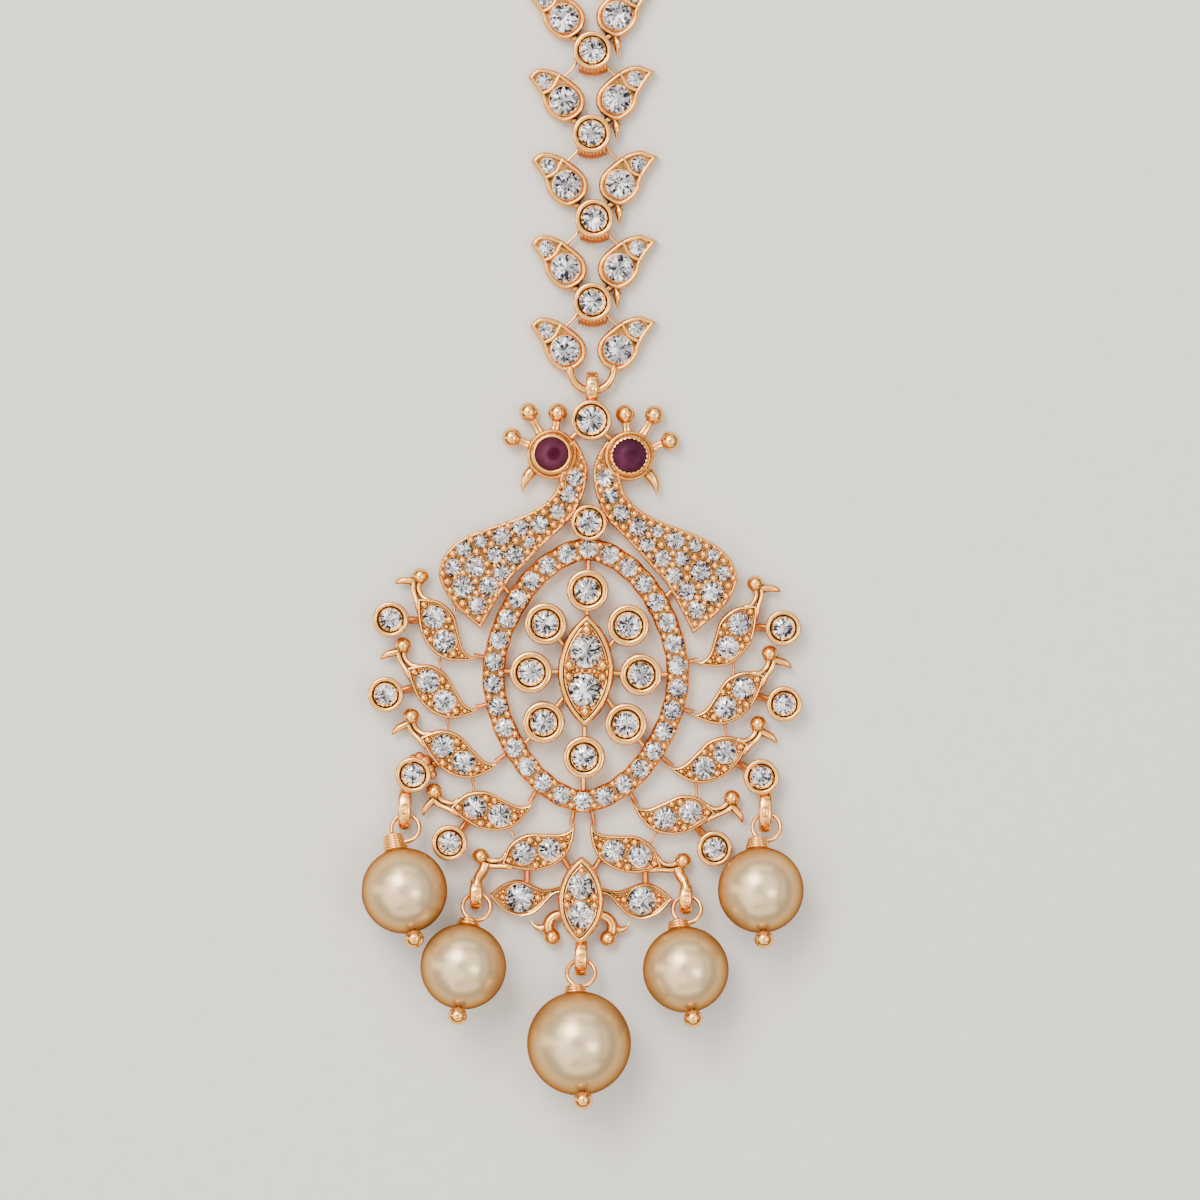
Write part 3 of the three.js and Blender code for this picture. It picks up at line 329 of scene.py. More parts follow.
def evenly(line, count):
    """Points at even distances along a closed line"""
    ends = np.vstack([line, line[:1]])
    lengths = np.concatenate([[0], np.cumsum(np.linalg.norm(np.diff(ends, axis=0), axis=1))])
    wanted = np.linspace(0, lengths[-1], count, endpoint=False)
    return np.column_stack([np.interp(wanted, lengths, ends[:, k]) for k in (0, 1)])


def oval_band(middle_line):
    steps = OVAL_STONES * FACETS_A_STONE
    line = evenly(middle_line, steps)
    ahead = np.roll(line, -1, axis=0) - np.roll(line, 1, axis=0)
    ahead /= np.linalg.norm(ahead, axis=1)[:, None]
    outwards = np.stack([ahead[:, 1], -ahead[:, 0]], 1)
    scallop = np.abs(np.cos(np.pi * np.arange(steps) * OVAL_STONES / steps))
    half = BAND_WIDTH / 2
    profile = [(half, 0)] + [(half - inset, BAND_HEIGHT - drop) for inset, drop in BAND_RIM]
    profile += [(-offset, height) for offset, height in profile[::-1]]
    rings = []
    for offset, height in profile:
        edge = np.sign(offset) * (0.06 * scallop - 0.05)
        rings.append(np.column_stack([line + outwards * (offset + edge)[:, None], np.full(steps, height)]))
    return np.vstack(rings), ring_faces(len(rings), steps, hoop=True)


# (x, y, height, radius) of the pendant's small stones, their seats and all beads, marked piece by piece
pave_places, seat_places, bead_places = [], [], []


def pave(at, diameter, sheet):
    """Marks a small stone with its bright-cut seat, let into a sheet with its top at a height"""
    pave_places.append((*at, sheet + 0.1, diameter / 2))
    seat_places.append((*at, sheet, diameter / 2))


oval_line = np.array([oval_point(90 + step / 2) for step in range(720)])
frame_casting("oval_band", [oval_band(oval_line)], 50, 0.02, shade_sunk_floors=True)
band_stones = evenly(oval_line, OVAL_STONES)
for at in band_stones:
    pave(at, 0.95 * BAND_STONE, BAND_HEIGHT - 0.12)
for here, after in zip(band_stones, np.roll(band_stones, -1, axis=0)):
    gap = (here + after) / 2
    way = gap / np.linalg.norm(gap)
    for reach in (BEAD_SPREAD, -BEAD_SPREAD):
        bead_places.append((*(gap + way * reach), BAND_HEIGHT + 0.08, BAND_BEAD))

# Round settings: turned cups, each with a broad rounded collar
# The setter pushed the inner lip over the stone, which leaves a broken dark groove between the lip
# and the collar. Flattened bars of solder join the cups to their neighbours at mid height.
SETTING_HEIGHT = 1.85
SEAT_CLEARANCE = 0.1
SEAT_SIDES = 10                   # the CAD model's seats have flats
OVAL_STONE = 1.86
OVAL_WALL = 0.45
COLLAR_SIDES = 48
LIP = [(0.15, 0.32), (0.11, 0.32), (0.1, 0.12), (0.05, 0.06), (0, 0.1), (-0.02, 0.22), (-0.06, 0.5)]
OVAL_SETTINGS = [
    # name, across and along as shares of the oval's half sizes, whether a bar runs to the band
    ("top", 0, 0.67, True), ("bottom", 0, -0.649, True), ("upper", 0.447, 0.4, False),
    ("middle", 0.594, 0.013, True), ("lower", 0.444, -0.38, True),
]
MARQUISE_MIDDLE = np.array([0.0, 0.32])


def turned(profile, middle, sides):
    """A profile of (radius, height) turned round an upright line through the middle"""
    points = []
    for radius, height in profile:
        for i in range(sides):
            turn = 2 * math.pi * i / sides
            points.append((middle[0] + radius * math.cos(turn), middle[1] + radius * math.sin(turn), height))
    return np.array(points), ring_faces(len(profile), sides)


def tube(path, radii, sides, flat=1.0):
    """A round bar along a path, with a radius at each of its points"""
    path = np.asarray(path, float)
    ahead = np.gradient(path, axis=0)
    ahead /= np.linalg.norm(ahead, axis=1)[:, None]
    across = np.cross(ahead[0], (0, 0, 1.0))
    points = []
    for here, forward, radius in zip(path, ahead, np.broadcast_to(radii, len(path))):
        across = across - forward * across.dot(forward)
        across /= np.linalg.norm(across)
        up = np.cross(across, forward)
        for i in range(sides):
            turn = 2 * math.pi * i / sides
            points.append(here + radius * (math.cos(turn) * across + flat * math.sin(turn) * up))
    return np.array(points), ring_faces(len(path), sides)


def smooth_line(points, steps):
    """A smooth line through the points"""
    points = np.asarray(points, float)
    last = len(points) - 1
    line = []
    for i in range(last):
        a, b, c, d = (points[min(max(i + k, 0), last)] for k in (-1, 0, 1, 2))
        for step in range(steps):
            t = step / steps
            line.append(0.5 * (2 * b + (c - a) * t + (2 * a - 5 * b + 4 * c - d) * t * t
                               + (3 * b - a - 3 * c + d) * t ** 3))
    return np.array(line + [points[-1]])


def seat_radius(stone, sides=SEAT_SIDES):
    return (stone / 2 + SEAT_CLEARANCE) / math.cos(math.pi / sides)


def collar(at, stone, wall, low=0.0, high=SETTING_HEIGHT, seed=0):
    inner = stone / 2 - 0.04
    outer = 0.98 * (seat_radius(stone) + wall)
    half = (outer - inner - LIP[0][0]) / 2
    profile = [(outer - 0.05, low), (outer, low + 0.08), (outer, high - 0.26)]
    for angle in (25, 50, 70, 90, 110, 130, 155):
        turn = math.radians(angle)
        profile.append((outer - half + half * math.cos(turn), high - 0.14 + 0.14 * math.sin(turn)))
    groove = slice(len(profile), len(profile) + 2)
    profile += [(inner + out, high - drop) for out, drop in LIP] + [(0.01, high - 0.6)]
    points, faces = turned(profile, at, COLLAR_SIDES)
    rings = points.reshape(len(profile), COLLAR_SIDES, 3)
    for i in range(COLLAR_SIDES):
        turn = 2 * math.pi * i / COLLAR_SIDES
        wave = noise.noise(Vector((3 * math.cos(turn) + at[0], 3 * math.sin(turn) + at[1], seed)))
        rings[groove, i, 2] += min(0.24, max(0.0, 0.5 * wave))
    return rings.reshape(-1, 3), faces


def solder_bar(start, end, width=0.38, low=0.2, high=0.75):
    middle = (low + high) / 2
    path = [(*start, middle), (*(np.add(start, end) / 2), middle), (*end, middle)]
    return tube(smooth_line(path, 5), width / 2, 12, (high - low) / width)


single_stones = []                # name, place, diameter, top of its setting
oval_collars, oval_bars = [], []
for name, across, along, to_band in OVAL_SETTINGS:
    for side_name, side in (("_left", -1), ("_right", 1)) if across else (("", 1),):
        at = np.array([side * across * OVAL_HALF_WIDTH, along * OVAL_HALF_HEIGHT])
        single_stones.append((f"oval_stone_{name}{side_name}", at, OVAL_STONE, SETTING_HEIGHT))
        oval_collars.append(collar(at, OVAL_STONE, OVAL_WALL, seed=len(single_stones)))
        oval_bars.append(solder_bar(at, at + 0.62 * (MARQUISE_MIDDLE - at)))
        if to_band:
            oval_bars.append(solder_bar(at, oval_point(math.degrees(math.atan2(at[1], at[0])))))
frame_casting("oval_collars", oval_collars, 50, 0.025)
frame_casting("oval_bars", oval_bars, 60, 0.04)

# Marquise settings: two pointed ovals, each with a groove cut inside its rim
# The rim is filed to a soft dome. Pairs of beads at the waist and one at each tip hold the two
# stones, and the sunk floor round them is roughened with fine grains.
MARQUISE_HEIGHT = 1.8
MARQUISE_LENGTH = 8.1
MARQUISE_WIDTH = 4.0
MARQUISE_STONE = 2.4
STONE_SHIFT = 0.172               # from the middle, as a share of the length
LOW_MARQUISE_MIDDLE = np.array([0.0, -16.065])
LOW_LENGTH = 6.35
LOW_WIDTH = 3.3
LOW_STONE = 2.02
MARQUISE_RIM = [(0, 0.34), (0.05, 0.15), (0.15, 0.04), (0.27, 0), (0.36, 0.05), (0.38, 0.32), (0.43, 0.32),
                (0.45, 0.07), (0.52, 0.05), (0.56, 0.18), (0.6, 0.36), (0.78, 0.36)]
# beads from the setting's middle: across, along, radius
OVAL_BEADS = [(-1.2, 0.38, 0.36), (1.2, 0.4, 0.37), (-1.22, -0.42, 0.28), (1.22, -0.42, 0.28), (0, 2.93, 0.35),
              (0.02, -2.9, 0.36)]
LOW_BEADS = [(-0.97, 0.3, 0.26), (0.97, 0.3, 0.28), (-0.98, -0.3, 0.25), (0.98, -0.3, 0.27), (0, 2.15, 0.25),
             (-0.05, -2.2, 0.31)]
FINE_GRAINS = {"largest": 0.17, "smallest": 0.08, "bury": 0.03, "keep": 2.0, "step": 0.05}


def clearance(points, outline):
    """How far each point is from a closed outline"""
    ends = np.roll(outline, -1, axis=0)
    span = ends - outline
    offset = points[:, None, :] - outline[None, :, :]
    share = np.clip((offset * span).sum(2) / ((span ** 2).sum(1) + 1e-12), 0, 1)
    return np.linalg.norm(offset - share[..., None] * span, axis=2).min(1)


def meeting(first, first_way, last, last_way, distance):
    """Where the two sides of a sharp tip meet once both have moved inwards"""
    first_way = first_way / np.linalg.norm(first_way)
    last_way = last_way / np.linalg.norm(last_way)
    across = first_way[0] * last_way[1] - first_way[1] * last_way[0]
    gap = last - first
    if abs(across) > 0.05:
        reach = (gap[0] * last_way[1] - gap[1] * last_way[0]) / across
        if 0 <= reach < 4 * distance:
            return first + first_way * reach
    return (first + last) / 2


def inwards(outline, distance):
    """A closed outline moved inwards. Where it would cross itself at a sharp tip it meets in one point"""
    if distance == 0:
        return outline.copy()
    before = outline - np.roll(outline, 1, axis=0)
    after = np.roll(outline, -1, axis=0) - outline
    before /= np.linalg.norm(before, axis=1)[:, None]
    after /= np.linalg.norm(after, axis=1)[:, None]
    normal = np.stack([-(before + after)[:, 1], (before + after)[:, 0]], 1)
    normal /= np.linalg.norm(normal, axis=1)[:, None]
    lean = np.maximum(0.35, normal[:, 0] * -after[:, 1] + normal[:, 1] * after[:, 0])
    moved = outline + normal * (distance / lean)[:, None]
    wrong = clearance(moved, outline) < distance * 0.96
    if wrong.all() or not wrong.any():
        return moved
    count = len(outline)
    start = int(np.argmin(wrong))
    i = 0
    while i < count:
        run = []
        while wrong[(start + i) % count]:
            run.append((start + i) % count)
            i += 1
        if run:
            first, last = moved[run[0] - 1], moved[(run[-1] + 1) % count]
            moved[run] = meeting(first, first - moved[run[0] - 2], last, last - moved[(run[-1] + 2) % count], distance)
        else:
            i += 1
    return moved


def counter_clockwise(outline):
    x, y = outline[:, 0], outline[:, 1]
    area = (x * np.roll(y, -1) - y * np.roll(x, -1)).sum()
    return outline if area > 0 else outline[::-1].copy()


def plate(outline, top, rim, foot=((0.02, 0), (0, 0.08))):
    """A casting raised from its outline: its foot by (inwards, height), its rim by (inwards, below the top)"""
    rings = []
    for distance, height in list(foot) + [(inset, top - drop) for inset, drop in rim]:
        ring = inwards(outline, distance)
        rings.append(np.column_stack([ring, np.full(len(ring), height)]))
    return np.vstack(rings), ring_faces(len(rings), len(outline))


def within(points, outline):
    """Which points lie inside a closed outline"""
    x, y = points[:, 0][:, None], points[:, 1][:, None]
    x0, y0 = outline[:, 0], outline[:, 1]
    x1, y1 = np.roll(x0, -1), np.roll(y0, -1)
    crosses = (y0 > y) != (y1 > y)
    with np.errstate(divide="ignore", invalid="ignore"):
        reach = (x1 - x0) * (y - y0) / (y1 - y0) + x0
    return (np.logical_and(crosses, x < reach).sum(1) % 2) == 1


def grains(inside, stones, height, largest=0.29, smallest=0.17, bury=0.16, keep=2.25, step=0.07):
    """Beads in the gaps between round things, the widest gaps first, by clearance from them and the rim"""
    low, high = inside.min(0), inside.max(0)
    across, up = np.meshgrid(np.arange(low[0], high[0], step), np.arange(low[1], high[1], step))
    spots = np.column_stack([across.ravel(), up.ravel()])
    spots = spots[within(spots, inside)]
    room = clearance(spots, inside) + bury
    for x, y, diameter in stones:
        room = np.minimum(room, np.hypot(spots[:, 0] - x, spots[:, 1] - y) - diameter / 2 + bury)
    taken = []
    for index in np.argsort(-room):
        radius = min(room[index], largest)
        if radius < smallest:
            break
        x, y = spots[index]
        if all(math.hypot(x - u, y - v) > keep * (radius + r) / 2 for u, v, r in taken):
            taken.append((x, y, radius))
    bead_places.extend((x, y, height + 0.65 * r, r) for x, y, r in taken)


def marquise_outline(length, width, middle, steps=26):
    arc = (length ** 2 + width ** 2) / (4 * width)
    reach = math.asin(length / 2 / arc)
    outline = []
    for side in (1, -1):
        for i in range(steps):
            angle = side * reach * (2 * i / steps - 1)
            outline.append((middle[0] + side * (arc * math.cos(angle) - arc + width / 2),
                            middle[1] + arc * math.sin(angle)))
    return counter_clockwise(np.array(outline))


def marquise(name, length, width, middle, diameter, beads):
    outline = marquise_outline(length, width, middle)
    top = MARQUISE_HEIGHT
    taken = []
    for part, way in (("upper", 1), ("lower", -1)):
        at = middle + (0, way * STONE_SHIFT * length)
        single_stones.append((f"{name}_stone_{part}", at, diameter, top))
        seat_places.append((*at, top - 0.3, diameter / 2 + 0.03))
        taken.append((*at, diameter + 0.14))
    for x, y, radius in beads:
        bead_places.append((middle[0] + x, middle[1] + y, top - 0.02, 1.2 * radius))
        taken.append((middle[0] + x, middle[1] + y, 2.4 * radius))
    grains(inwards(outline, 0.58), taken, top - MARQUISE_RIM[-1][1], **FINE_GRAINS)
    casting = plate(outline, top, MARQUISE_RIM, ((0.03, 0), (0, 0.08)))
    frame_casting(f"{name}_setting", [casting], 50, 0.02, shade_sunk_floors=True)


marquise("marquise", MARQUISE_LENGTH, MARQUISE_WIDTH, MARQUISE_MIDDLE, MARQUISE_STONE, OVAL_BEADS)
marquise("low_marquise", LOW_LENGTH, LOW_WIDTH, LOW_MARQUISE_MIDDLE, LOW_STONE, LOW_BEADS)

# Two large birds with bodies full of small stones
# Each is cast with a raised rim round a sunk floor. Grain beads, raised from the floor with a hollow
# punch, fill the gaps between the stones and hold them.
BIRD_WIDTH = 10.65
BIRD_HEIGHT = 13.65
BIRD_SHEET = 1.25
BIRD_STONE = 1.25
MIDDLE_STONE = 1.79
TOP_STONE = 2.07
HEAD_WALL = 0.27
SOLDER = 0.26
MIDDLE_SETTING = np.array([0, OVAL_HALF_HEIGHT + BAND_WIDTH / 2 + seat_radius(MIDDLE_STONE) + HEAD_WALL - SOLDER])
BIRD_RIM = [(0, 0.2), (0.03, 0.09), (0.09, 0.02), (0.15, 0), (0.21, 0.04), (0.24, 0.2), (0.27, 0.38), (0.48, 0.38)]
BIRD_FRONT = [
    (0.107, 0.433), (0.05, 0.36), (0.019, 0.277), (0.033, 0.172), (0.07, 0.09), (0.13, 0.01), (0.2, -0.045),
    (0.315, -0.134), (0.447, -0.244), (0.521, -0.306), (0.592, -0.396), (0.654, -0.482), (0.712, -0.567),
]
BIRD_BACK = [
    (0.712, -0.567), (0.8, -0.51), (0.9, -0.435), (0.975, -0.35), (1.0, -0.265), (0.955, -0.175), (0.85, -0.098),
    (0.73, -0.054), (0.577, -0.01), (0.445, 0.029), (0.332, 0.078), (0.24, 0.153), (0.197, 0.26),
]
BIRD_STONES = [
    # across, along, size on the left bird, size on the right bird
    (0.098, 0.234, 0.97, 1.0), (0.141, 0.144, 0.97, 0.86), (0.213, 0.051, 0.86, 0.97), (0.331, -0.017, 1.0, 1.06),
    (0.458, -0.037, 0.97, 0.76), (0.396, -0.11, 0.68, 0.91), (0.58, -0.081, 1.03, 1.06), (0.716, -0.108, 0.8, 0.76),
    (0.834, -0.153, 0.91, 0.8), (0.627, -0.183, 1.0, 0.83), (0.493, -0.18, 1.09, 0.97), (0.906, -0.251, 1.03, 0.86),
    (0.755, -0.243, 1.14, 1.17), (0.575, -0.271, 0.96, 0.94), (0.835, -0.352, 1.23, 1.29), (0.662, -0.348, 1.11, 1.03),
    (0.734, -0.445, 1.03, 1.03),
]
EYE_SHARES = (0.26, 0.353)
EYE_CLEARING = 4.2                # no grains within this circle round the eye
SIDES = (("left", -1), ("right", 1))


def on_bird(side, across, along):
    return np.array([side * across * BIRD_WIDTH, MIDDLE_SETTING[1] + along * BIRD_HEIGHT])


def bird(side_name, side):
    """Makes one bird and gives back the outline of its floor"""
    shares = np.vstack([smooth_line(BIRD_FRONT, 8), smooth_line(BIRD_BACK, 8)[1:], [EYE_SHARES]])
    outline = counter_clockwise(np.array([on_bird(side, *share) for share in shares]))
    frame_casting(f"bird_{side_name}", [plate(outline, BIRD_SHEET + 0.3, BIRD_RIM)], 60, 0.03, shade_sunk_floors=True)
    stones = []
    for across, along, *sizes in BIRD_STONES:
        at = on_bird(side, across, along)
        size = 1.05 * sizes[side > 0] * BIRD_STONE
        stones.append((*at, size))
        pave(at, size, BIRD_SHEET)
    stones.append((*on_bird(side, *EYE_SHARES), EYE_CLEARING))
    grains(inwards(outline, 0.16), stones, BIRD_SHEET + 0.08)
    return inwards(outline, 0.14)


necks = {side_name: bird(side_name, side) for side_name, side in SIDES}

# Eyes, crests and beaks of the birds
# A broad bezel on a collar holds the red stone. The left bezel is smooth, the right one was pushed
# over in small teeth. Three balls on split stems form the crest, a horn below is the beak.
EYE_STONE = 2.36
EYE_RADIUS = seat_radius(EYE_STONE, 12) + 0.52
EYE_SIDES = 96
TEETH = 24
BEZEL = [  # inwards from the outer edge, height
    (0.05, 0), (0, 0.1), (0, 1.2), (0.04, 1.4), (0.12, 1.49), (0.2, 1.52), (0.27, 1.48), (0.28, 1.36), (0.31, 1.36),
    (0.32, 1.6), (0.36, 1.78), (0.43, 1.9), (0.5, 1.95),
]
BEZEL_LIP = [(1.23, 1.95), (1.15, 1.86), (1.11, 1.55)]  # radius, height
NECK_BEADS = [(0.16, 0.075), (0.34, 0.06)]              # distance from the bezel, radius
CREST_BALL = 1.34
CREST = [(21.2, 0.93), (60.0, 1.18), (96.8, 0.86)]      # direction in degrees, length of stem in balls
BEAK_LINE = [(0.7, -0.62, 0.42), (0.9, -0.83, 0.42), (1.04, -1.12, 0.28), (1.08, -1.36, 0.13), (1.06, -1.52, 0.04)]
TOP_SETTING = MIDDLE_SETTING + (0, 0.534 * BIRD_HEIGHT)


def eye_bezel(at, toothed):
    outer = EYE_RADIUS - 0.03
    profile = [(outer - inset, height) for inset, height in BEZEL] + BEZEL_LIP
    points, faces = turned(profile, at, EYE_SIDES)
    if toothed:
        rings = points.reshape(len(profile), EYE_SIDES, 3)
        for i in range(EYE_SIDES):
            tooth = 0.5 + 0.5 * math.cos(2 * math.pi * i * TEETH / EYE_SIDES)
            rings[10:13, i, 2] -= 0.06 * (1 - tooth)
            for ring in (12, 13, 14):
                rings[ring, i, :2] = at + (rings[ring, i, :2] - at) * (1.03 - 0.06 * tooth)
        points = rings.reshape(-1, 3)
    return points, faces


def ball(middle, radius, sides, squash=1.0):
    rows = sides // 2
    profile = []
    for i in range(rows + 1):
        lean = -math.pi / 2 + math.pi * i / rows
        profile.append((max(radius * math.cos(lean), 1e-4), middle[2] + squash * radius * math.sin(lean)))
    return turned(profile, middle, sides)


def strand(rows, steps, sides, flat=1.0):
    """A bar along a smooth line through rows of (x, y, height, half thickness)"""
    line = smooth_line(rows, steps)
    return tube(line[:, :3], line[:, 3], sides, flat)


def crest_stem(root, tip, wide, narrow, height):
    path = [(*(root + (tip - root) * t), height) for t in (0, 0.3, 0.6, 1)]
    return tube(path, [wide, narrow, narrow, wide * 0.9], 14, 0.9)


def bird_head(side_name, side):
    eye = on_bird(side, *EYE_SHARES)
    shapes = [eye_bezel(eye, side > 0)]
    for bearing, stalk in CREST:
        way = np.array([side * math.cos(math.radians(bearing)), math.sin(math.radians(bearing))])
        across = np.array([-way[1], way[0]])
        tip = eye + way * (EYE_RADIUS + stalk * CREST_BALL)
        root = eye + way * (EYE_RADIUS - 0.1)
        shapes.append(ball((*tip, CREST_BALL * 0.62), CREST_BALL * 0.52, 28))
        for spread in (-0.13, 0.13):
            shapes.append(crest_stem(root + across * spread, tip - way * 0.45 + across * spread * 0.8, 0.23, 0.16, 0.8))
    shapes.append(strand([(eye[0] + side * x * EYE_RADIUS, eye[1] + y * EYE_RADIUS, 0.85, r) for x, y, r in BEAK_LINE],
                         6, 16, 0.9))
    frame_casting(f"bird_head_{side_name}", shapes, 50, 0.012)
    # two rows of fine beads where the neck runs along the collar
    for step in range(13):
        turn = math.radians(-62 + 8.5 * step)
        for reach, size in NECK_BEADS:
            x = eye[0] - side * (EYE_RADIUS + reach) * math.cos(turn)
            y = eye[1] + (EYE_RADIUS + reach) * math.sin(turn)
            if within(np.array([[x, y]]), necks[side_name])[0]:
                bead_places.append((x, y, BIRD_SHEET + 0.12, size))
    return [solder_bar(MIDDLE_SETTING, on_bird(side, 0.2, 0.03)), solder_bar(TOP_SETTING, eye),
            solder_bar(oval_point(45) * (side, 1), on_bird(side, 0.61, -0.3))]


bird_joints = [bird_head(side_name, side) for side_name, side in SIDES]
head_collars = []
for name, at, stone in (("middle_stone", MIDDLE_SETTING, MIDDLE_STONE), ("top_stone", TOP_SETTING, TOP_STONE)):
    head_collars.append(collar(at, stone, HEAD_WALL, seed=stone))
    single_stones.append((name, at, stone, SETTING_HEIGHT))
frame_casting("head_collars", head_collars, 50, 0.02)
frame_casting("bird_joints", [solder_bar(MIDDLE_SETTING, oval_point(90))] + sum(bird_joints, []), 60, 0.05)

# Leaves round the oval, each ending in a small bird's head
# The curved rim carries a fine groove. At the narrow end two strands of the rim run on as a neck to
# a round head with a horn-like beak. Two stones and pairs of beads fill the leaf.
LEAF_LENGTH = 5.65
LEAF_WIDTH = 2.7
LEAF_STONE = 1.66
HEAD_BALL = 1.2
SHEET = 1.05
SIDE_STONE = 1.64
SIDE_WALL = 0.33
SIDE_SETTING_GAP = 0.27           # between the leaf and the cup of its side setting
LEAVES = [
    # bearing and gap of its tip from the band, turn, place of its side setting (left, right), beak
    (8.8, 0.15, -114.7, -0.363, -0.363, True), (-18.3, 0.17, -130.3, -0.372, -0.36, True),
    (-46.5, 0.33, -142.8, -0.241, -0.354, True), (-68.7, 0.4, -164.3, -0.342, -0.342, True),
    (-86.6, 0.49, -189.4, None, None, False),
]
LEAF_RIM = [(0, 0.3), (0.04, 0.12), (0.1, 0.03), (0.18, 0.02), (0.2, 0.26), (0.24, 0.26), (0.26, 0.1), (0.3, 0.12),
            (0.33, 0.4), (0.5, 0.4)]
# points of the leaf as shares of its length and width from its middle
LEAF_INNER = [(-0.478, 0.204), (-0.336, -0.278), (-0.106, -0.5), (0.124, -0.444), (0.336, -0.389), (0.46, -0.481),
              (0.522, -0.722)]
LEAF_OUTER = [(0.522, -0.722), (0.504, -0.333), (0.389, 0.148), (0.195, 0.426), (-0.053, 0.5), (-0.283, 0.389),
              (-0.478, 0.204)]
LEAF_TIP = LEAF_OUTER[0]
LEAF_STONE_PLACE = 0.168
LEAF_BEADS = [(-0.37, 0.12, 0.17), (-0.04, 0.355, 0.19), (0.07, 0.33, 0.17), (-0.07, -0.33, 0.19), (0.04, -0.34, 0.16),
              (0.35, -0.08, 0.19), (0.42, -0.27, 0.13), (0.33, 0.13, 0.12)]
HEAD_PLACE = (-0.714, -0.087)
# two strands and the beak: shares, then height and half thickness in mm
STRANDS = [
    [(-0.7, 0.1, 0.8, 0.23), (-0.63, 0.19, 0.88, 0.21), (-0.55, 0.23, 0.95, 0.2), (-0.46, 0.25, 1.05, 0.21),
     (-0.38, 0.29, 1.12, 0.19), (-0.28, 0.345, 1.02, 0.1)],
    [(-0.66, -0.02, 0.8, 0.25), (-0.59, 0.07, 0.88, 0.2), (-0.52, 0.09, 0.95, 0.19), (-0.45, 0.06, 1.05, 0.2),
     (-0.4, -0.04, 1.12, 0.19), (-0.35, -0.17, 1.02, 0.1)],
]
BEAK = [(-0.69, 0.1, 0.8, 0.27), (-0.725, 0.25, 0.8, 0.28), (-0.755, 0.38, 0.8, 0.26), (-0.765, 0.5, 0.78, 0.2),
        (-0.76, 0.6, 0.76, 0.08)]
LUMPS = [(-11.35, -6.45, 0.5), (-11.0, -6.95, 0.42), (-11.75, -6.1, 0.38), (-10.75, -7.35, 0.33), (-12.2, -6.2, 0.3)]

# hard solder, left unpolished between the castings: rougher, lumpy and more coppery than the plating. Its third tone is
# that of its painted shade
solder_gold = plated_gold("copper_solder", "#dc9450", "#c07038", "#84502f", 0.3, 0.8)


def leaf_placer(leaf, side):
    bearing, gap, turn = leaf[:3]
    cos, sin = math.cos(math.radians(turn)), math.sin(math.radians(turn))

    def own(along, out):
        x, y = along * LEAF_LENGTH, out * LEAF_WIDTH
        return np.array([x * cos - y * sin, x * sin + y * cos])

    middle = oval_point(bearing, BAND_WIDTH / 2 + gap) - own(*LEAF_TIP)
    return lambda along, out: (own(along, out) + middle) * (side, 1)


def side_setting(leaf, side):
    out = LEAF_WIDTH / 2 + SIDE_SETTING_GAP + seat_radius(SIDE_STONE) + SIDE_WALL
    return leaf_placer(leaf, side)(leaf[4] if side > 0 else leaf[3], out / LEAF_WIDTH)


def leaf(number, row, side_name, side):
    """Makes one leaf with its side setting and gives back the bars of solder at both"""
    place = leaf_placer(row, side)
    shares = np.vstack([smooth_line(LEAF_INNER, 7), smooth_line(LEAF_OUTER, 7)[1:-1]])
    outline = counter_clockwise(np.array([place(*share) for share in shares]))
    shapes = [plate(outline, SHEET + 0.3, LEAF_RIM), ball((*place(*HEAD_PLACE), HEAD_BALL * 0.62), HEAD_BALL * 0.5, 24)]
    for rows in STRANDS + ([BEAK] if row[5] else []):
        shapes.append(strand([(*place(along, out), z, r) for along, out, z, r in rows], 5, 12))
    taken = []
    for along in (-LEAF_STONE_PLACE, LEAF_STONE_PLACE):
        pave(place(along, 0), LEAF_STONE, SHEET + 0.02)
        taken.append((*place(along, 0), LEAF_STONE + 0.16))
    for along, out, radius in LEAF_BEADS:
        bead_places.append((*place(along, out), SHEET + 0.18, 1.6 * radius))
        taken.append((*place(along, out), 3.2 * radius))
    grains(inwards(outline, 0.32), taken, SHEET - 0.1, **FINE_GRAINS)
    frame_casting(f"leaf_{side_name}_{number}", shapes, 55, 0.02, shade_sunk_floors=True)
    solder = [solder_bar(place(0.47, -0.55), oval_point(row[0]) * (side, 1), 0.35)]
    share = row[4] if side > 0 else row[3]
    if share is not None:
        at = side_setting(row, side)
        single_stones.append((f"side_stone_{side_name}_{number}", at, SIDE_STONE, SETTING_HEIGHT))
        frame_casting(f"side_collar_{side_name}_{number}", [collar(at, SIDE_STONE, SIDE_WALL, seed=number + 5 * side)],
                      50, 0.02)
        solder += [solder_bar(place(share + 0.06, 0.8), place(share + 0.17, 0.33), 0.55, 0.3, 0.9),
                   solder_bar(place(share + 0.1, 0.75), place(share + 0.15, 0.35), 0.25, 0.3, 1.05)]
    return solder


leaf_solder = []
for side_name, side in SIDES:
    for number, row in enumerate(LEAVES, 1):
        leaf_solder += leaf(number, row, side_name, side)
# lumps beside the left setting that carries a bail
leaf_solder += [ball((x, y, 0.85), radius, 16, 0.8) for x, y, radius in LUMPS]
seat_piece(object_of("leaf_solder", leaf_solder, solder_gold, 60, 0.05))

